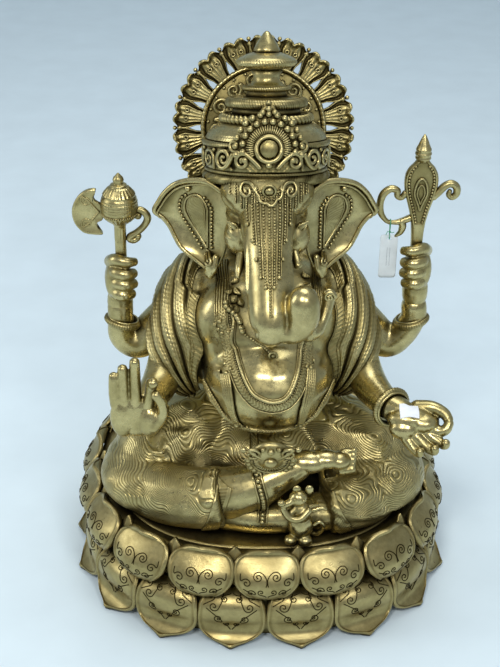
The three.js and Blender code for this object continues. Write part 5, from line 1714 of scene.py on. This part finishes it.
def leaf(skin, place, length, degrees):
    """A small veined leaf of the collar."""
    centre, normal = skin.near([place])
    normal = normal[0]
    down = unit(np.array([math.sin(math.radians(degrees)), 0.0, -math.cos(math.radians(degrees))]))
    down = unit(down - normal * down.dot(normal))
    side = np.cross(down, normal)
    t, u = np.linspace(0, 1, 18)[:, None], np.linspace(-1, 1, 15)[None]
    half = 0.36 * length * np.sin(np.pi * t ** 0.8) + 0.15
    vein = 0.7 * bump(u, 0, 0.12) + 0.3 * np.sin((t * 7 - np.abs(u) * 2) * TAU / 2) * (1 - np.abs(u))
    rise = 2.6 + 1.6 * (1 - u**2) + vein
    grid = (centre[0] + down * (length * (t - 0.5))[..., None] + side * (half * u)[..., None] + normal
            * rise[..., None])
    return outward_faces(shell(grid, 4.0, np.broadcast_to(-normal, grid.shape), 0.35 * (1 - vein)))


def build_belt(skin):
    """The band round the hips, in a row of flowers between two ropes."""
    line = [[-77, -76, 248], [-73, -92, 244], [-66, -108, 236], [-53, -118, 220], [-39, -122, 209],
            [-26, -127, 205], [3, -130, 203], [30, -127, 205], [44, -122, 209], [58, -118, 220],
            [70, -108, 236], [77, -92, 244], [81, -76, 248]]
    rows = []
    for shift, size in ((5.0, 1.9), (-5.0, 1.9)):
        place, _ = skin.near(resample(spline(np.array(line) + (0, 0, shift), 1.0), 3.4), 1.4)
        rows.append(beads(place, size, 10))
        rows.append(tube(resample(place, 1.5), 1.3, 8))
    middle, _ = skin.near(spline(line, 1.2), 0.2)
    rows.append(tube(middle, 3.6, 14))
    flowers = chain_of_flowers(skin, resample(spline(line, 1.0), 7.6), 3.9)
    piece("waist_belt_band", joined(*rows, flowers), BRASS, "waist_belt")


def build_medallion():
    """The fan-shaped buckle: a boss in ribbed and beaded half rings between two scrolls."""
    centre = np.array([3.5, -152.0, 203.0])
    lean = math.radians(18)
    turn = np.array([[1, 0, 0], [0, math.cos(lean), -math.sin(lean)], [0, math.sin(lean), math.cos(lean)]])
    disc = ball((0, 5, 0), (19, 8, 19), around=48)
    parts = [disc, ball((0, -3, 0), (6.2, 5.2, 6.2), around=32),
             ball((0, -1, 13), (3.2, 3.2, 3.2), around=20)]

    def arc(radius, low, high, count, y=-1.0):
        angles = np.linspace(low, high, count)
        return [[radius * math.cos(a), y + 0.02 * radius, radius * math.sin(a)] for a in angles]
    parts.append(loop_tube(arc(8.4, 0, TAU * 0.985, 60), 1.1, 8))
    for a in np.linspace(-math.pi * 1.02, 0.02 * math.pi, 19):
        c, s = math.cos(a), math.sin(a)
        parts.append(tube(
                         [[10.4 * c, -0.6, 10.4 * s], [12.6 * c, -1.4, 12.6 * s], [14.8 * c, -0.4, 14.8 * s]],
                         0.95, 8))
    parts.append(tube(arc(16.4, -math.pi, 0, 50), 1.1, 8))
    for a in np.linspace(-math.pi * 1.0, 0, 13):
        c, s = math.cos(a), math.sin(a)
        parts.append(ball((20 * c, 0.4, 20 * s), (2.7, 2.4, 2.7), around=12))
        parts.append(loop_tube([[20 * c + 2.9 * math.cos(b), -0.2, 20 * s + 2.9 * math.sin(b)]
                                for b in circle_of(16)], 0.7, 6))
    for s in (-1, 1):
        line = resample(spiral(s * 16, 9, 6.8, 1.5, math.pi * 0.5, s, lead=(s * 7, 3)), 1.0)
        parts.append(tube(in_plane(line, -0.6), np.linspace(1.9, 1.2, len(line)), 10))
        parts.append(beads([[s * 7, -0.5, 15.5], [s * 24, 1, 14]], [2.2, 3.0], 12))
    whole = joined(*parts)
    piece("waist_medallion_fan", Mesh(whole.points * 1.18, whole.faces, whole.relief).moved(centre, turn),
          BRASS, "waist_medallion")


def build_tusks():
    """The whole right tusk and the broken left one."""
    left = tube(spline([[27, -78, 408], [29, -88, 403], [30, -92, 400]], 2), 4.4, 20)
    path = spline([[-27, -80, 406, 5.4], [-30, -92, 397, 4.2], [-31, -98, 391, 2.4]], 2)
    piece("right_tusk_ivory", tube(path, path[:, 3], 20), SKIN_BRASS, "right_tusk")
    piece("left_tusk_stump", left, SKIN_BRASS, "left_tusk")


def build_mouse():
    """The mouse that sits up at the statue's feet with its paws raised."""
    x, y = 36.0, -161.0
    parts = [ball((x + 1, y + 2, 124), (14, 12, 17)), ball((x, y, 142), (11, 10, 14)),
             ball((x - 3, y - 3, 163), (10, 9, 9)),
             tube(spline([[x - 6, y - 5, 163], [x - 14, y - 8, 160], [x - 20, y - 9, 158]], 2), 4.0, 16),
             ball((x - 10, y - 6, 110), (7, 7, 6)), ball((x + 6, y - 6, 109), (8, 7, 6)),
             limb([x + 8, y - 5, 148, 4.6], [x - 2, y - 12, 142, 4.2], [x - 12, y - 12, 144, 4.0],
                  [x - 18, y - 10, 152, 3.6], [x - 20, y - 9, 158, 3.0], sides=14),
             limb([x - 6, y - 4, 150, 4.4], [x - 14, y - 9, 146, 4.0], [x - 19, y - 8, 150, 3.4], sides=14)]
    body = sculpt(parts, 0.9, 3)
    ears = [ball((x + 2 + s * 6.5, y - 1, 172), (4.6, 2.4, 5.6), around=18) for s in (-1, 1)]
    eyes = [ball((x - 7, y - 10.5, 166), (1.7, 1.4, 1.7), around=12),
            ball((x + 2, y - 10.5, 165), (1.7, 1.4, 1.7), around=12)]
    tail = spline([[x + 12, y + 6, 110, 3.0], [x + 20, y + 3, 112, 2.8], [x + 25, y, 122, 2.6],
                   [x + 21, y - 2, 131, 2.4], [x + 15, y - 2, 127, 2.0]], 1.2)
    sweet = ball((x - 21, y - 12, 163), (4.4, 4.0, 4.0), around=18)
    horn = spline([[x + 13, y + 2, 143, 2.8], [x + 22, y + 2, 146, 2.2], [x + 27, y + 2, 145, 2.0]], 1.2)
    piece("mouse_figure", joined(body, *ears, *eyes, tube(tail, tail[:, 3], 12), tube(horn, horn[:, 3], 12),
                                 sweet), SKIN_BRASS, "mouse")


# ------------------------------------------------------------------ thread and tags
THREAD_ROUTE = [[8.6, 389.2], [8.0, 387], [7.9, 384.2], [8.6, 382.6], [10, 382], [11.4, 382.6], [12.1, 384.2],
                [11.6, 387], [10.9, 391], [11.8, 395], [13.1, 400], [13.25, 402], [12.3, 404.3], [10, 405.25],
                [7.7, 404.3], [6.75, 402], [6.9, 400], [7.9, 395], [8.6, 392.8]]
THREAD_X = 136.0
THREAD_DIAMETER = 0.9


def add_thread():
    """The green thread that loops over the goad's wire and through the tag's hole, closed by a knot."""
    curve = bpy.data.curves.new("tag_thread_strand", "CURVE")
    curve.dimensions = "3D"
    curve.bevel_depth = THREAD_DIAMETER / 2 * MM
    curve.bevel_resolution = 4
    curve.resolution_u = 12
    line = curve.splines.new("BEZIER")
    line.bezier_points.add(len(THREAD_ROUTE) - 1)
    for point, (y, z) in zip(line.bezier_points, THREAD_ROUTE):
        point.co = (THREAD_X * MM, y * MM, z * MM)
        point.handle_left_type = point.handle_right_type = "AUTO"
    strand = bpy.data.objects.new("tag_thread_strand", curve)
    bpy.context.scene.collection.objects.link(strand)
    curve.materials.append(COTTON)
    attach(strand, "hang_tag")
    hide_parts("tag_thread")
    knot = []
    for lean_y, lean_z in ((0.5, 0.8), (-0.4, 0.5), (0.1, 0.5)):
        a = circle_of(24)
        ring = np.column_stack([THREAD_X + 0.8 * np.cos(a), 8.6 + 0.8 * np.sin(a) * lean_y + 0.3 * np.cos(a),
                                391 + 0.8 * np.sin(a) * lean_z])
        knot.append(loop_tube(ring, 0.55, 8))
    ends = [tube([[THREAD_X, 8.4, 391], [THREAD_X + s * 2.4, 7.4, 391.5 - s],
                  [THREAD_X + s * 4.4, 7.0, 390.0 + s * 1.5]], 0.4, 8) for s in (-1, 1)]
    tied = piece("thread_bow", joined(*knot, *ends), COTTON, "thread_knot", "hang_tag")
    (x0, y0, z0), (x1, y1, z1) = (np.array(v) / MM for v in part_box("hang_tag"))
    corner, hole = 3.0, 2.0
    outline = []
    for cx, cz, start in ((x1 - corner, z1 - corner, 0), (x0 + corner, z1 - corner, 90),
                          (x0 + corner, z0 + corner, 180), (x1 - corner, z0 + corner, 270)):
        outline += [[cx + corner * math.cos(math.radians(start + d)), cz + corner
                     * math.sin(math.radians(start + d))] for d in range(0, 91, 15)]
    outline = resample(np.vstack([outline, outline[:1]]), 1.4)[:-1]
    middle = np.array([THREAD_X, 382.4])
    spoke = np.arctan2(outline[:, 1] - middle[1], outline[:, 0] - middle[0])
    inner = middle + hole * np.stack([np.cos(spoke), np.sin(spoke)], 1)
    rings = []
    for y in (y0, y1):
        for k in np.linspace(0, 1, 14):
            flat = outline * (1 - k) + inner * k
            rings.append(in_plane(flat, y))
    order = rings[:14] + rings[14:][::-1]
    card = Mesh(np.array(order), grid_faces(28, len(outline), True, True)[:, ::-1])
    tag = piece("hang_tag_card", card, CARD, "hang_tag", "hang_tag")
    print_lines = []
    for k in range(2):
        dashes = np.arange(350, 372, 1.7)
        for z in dashes:
            print_lines.append(tube([[THREAD_X - 1.5 + 3.0 * k, y0 - 0.02, z],
                                     [THREAD_X - 1.5 + 3 * k, y0 - 0.02, z + 0.6],
                                     [THREAD_X - 1.5 + 3 * k, y0 - 0.02, z + 1.1]], 0.22, 6))
    ink = piece("tag_print", joined(*print_lines), plain("grey_ink", (0.30, 0.32, 0.36), 0.7), None,
                "hang_tag")


def add_sticker(skin):
    """The paper label, laid over the swell of the open palm."""
    (x0, y0, _), (x1, y1, z1) = (np.array(v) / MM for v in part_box("price_sticker"))
    t, u = np.linspace(0, 1, 24)[:, None], np.linspace(0, 1, 30)[None]
    flat = np.stack([x0 + (x1 - x0) * u + 0 * t, y0 + (y1 - y0) * t + 0 * u, z1 + 6 + 0 * t * u], -1)
    place, normal = skin.lay(flat, lift=0.7, way=(0, 0, -1))
    label = shell(place, 0.5, -normal)
    piece("price_label", outward_faces(label), LABEL, "price_sticker")


def build_screws():
    """The two slotted screws behind the halo."""
    for name in ("halo_screw_upper", "halo_screw_lower"):
        low, high = (np.array(v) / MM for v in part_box(name))
        centre = (low + high) / 2
        head = ball((centre[0], high[1] - 3.2, centre[2]), (6.6, 3.0, 6.6), around=40)
        slot_cut = np.abs(head.points[:, 2] - centre[2]) < 0.9
        head.points[slot_cut & (head.points[:, 1] > high[1] - 2.6), 1] -= 1.4
        shank = tube([[centre[0], low[1] + 3, centre[2] + 1], [centre[0], centre[1], centre[2]],
                      [centre[0], high[1] - 4, centre[2]]], 2.8, 20)
        piece(name + "_head", joined(head, shank), STEEL, name)


# ------------------------------------------------------------------ stage
def add_stage():
    """A pale cloth backdrop that curves up behind the statue."""
    half, back = 4.5, 3.4
    rows = [(-half, -half, 0.0), (half, -half, 0.0)]
    bend = [(back + 0.5 * math.sin(a), 0.5 - 0.5 * math.cos(a)) for a in np.linspace(0, math.pi / 2, 16)]
    points = rows + [(s * half, y, z) for y,
                     z in bend for s in (-1, 1)] + [(-half, back + 0.5, 3.0), (half, back + 0.5, 3.0)]
    data = bpy.data.meshes.new("backdrop")
    faces = [(2 * i, 2 * i + 1, 2 * i + 3, 2 * i + 2) for i in range(len(points) // 2 - 1)]
    data.from_pydata(points, [], faces)
    data.shade_smooth()
    backdrop = bpy.data.objects.new("backdrop", data)
    bpy.context.scene.collection.objects.link(backdrop)
    backdrop.data.materials.append(plain("backdrop_cloth", (0.73, 0.84, 0.89), 0.9, grain_scale=60.0,
                                         spread=0.05))


def area_light(name, place, aim, size, power, colour=(1, 1, 1)):
    """A rectangular light aimed at a place."""
    data = bpy.data.lights.new(name, "AREA")
    data.shape = "RECTANGLE"
    data.size, data.size_y = size
    data.energy = power
    data.color = colour
    lamp = bpy.data.objects.new(name, data)
    turn = (Vector(aim) - Vector(place)).to_track_quat("-Z", "Y").to_matrix().to_4x4()
    lamp.matrix_world = Matrix.Translation(place) @ turn
    bpy.context.scene.collection.objects.link(lamp)


def add_lights():
    world = bpy.data.worlds.new("studio")
    world.use_nodes = True
    background = world.node_tree.nodes["Background"]
    background.inputs["Color"].default_value = (0.80, 0.90, 1.0, 1)
    background.inputs["Strength"].default_value = 0.42
    bpy.context.scene.world = world
    bpy.context.scene.view_settings.view_transform = "Standard"
    area_light("key", (-0.55, -1.9, 2.3), (0, 0, 0.25), (0.55, 0.45), 26, (1.0, 0.98, 0.94))
    area_light("fill", (0.75, -1.9, 1.9), (0, 0, 0.3), (0.5, 0.5), 13, (0.96, 0.98, 1.0))
    area_light("side", (-2.2, -0.2, 1.2), (0, 0, 0.3), (0.6, 1.4), 12, (0.95, 0.98, 1.0))
    area_light("top", (0.2, 0.5, 2.5), (0, 0.2, 0.2), (1.6, 1.2), 22, (0.95, 0.98, 1.0))


add_camera()
add_thread()
add_stage()
add_lights()
build_base()
CLOTH = build_legs()
TORSO = build_torso()
piece("torso_skin", TORSO, SKIN_BRASS, "torso")
build_face()
build_arms()
build_tusks()
build_crown()
build_halo()
build_screws()
build_mace()
build_goad()
LEFT_SHAWL = outward_faces(build_shawl(Skin(TORSO)))
piece("left_shawl_cloth", LEFT_SHAWL, PLEAT_BRASS, "left_shawl")
piece("right_shawl_cloth", LEFT_SHAWL.mirrored(), PLEAT_BRASS, "right_shawl")
piece("back_shawl_cloth", build_back_cloth(Skin(TORSO)), PLEAT_BRASS, None)
build_jewels(Skin(TORSO))
build_belt(Skin(TORSO, CLOTH))
build_medallion()
build_mouse()
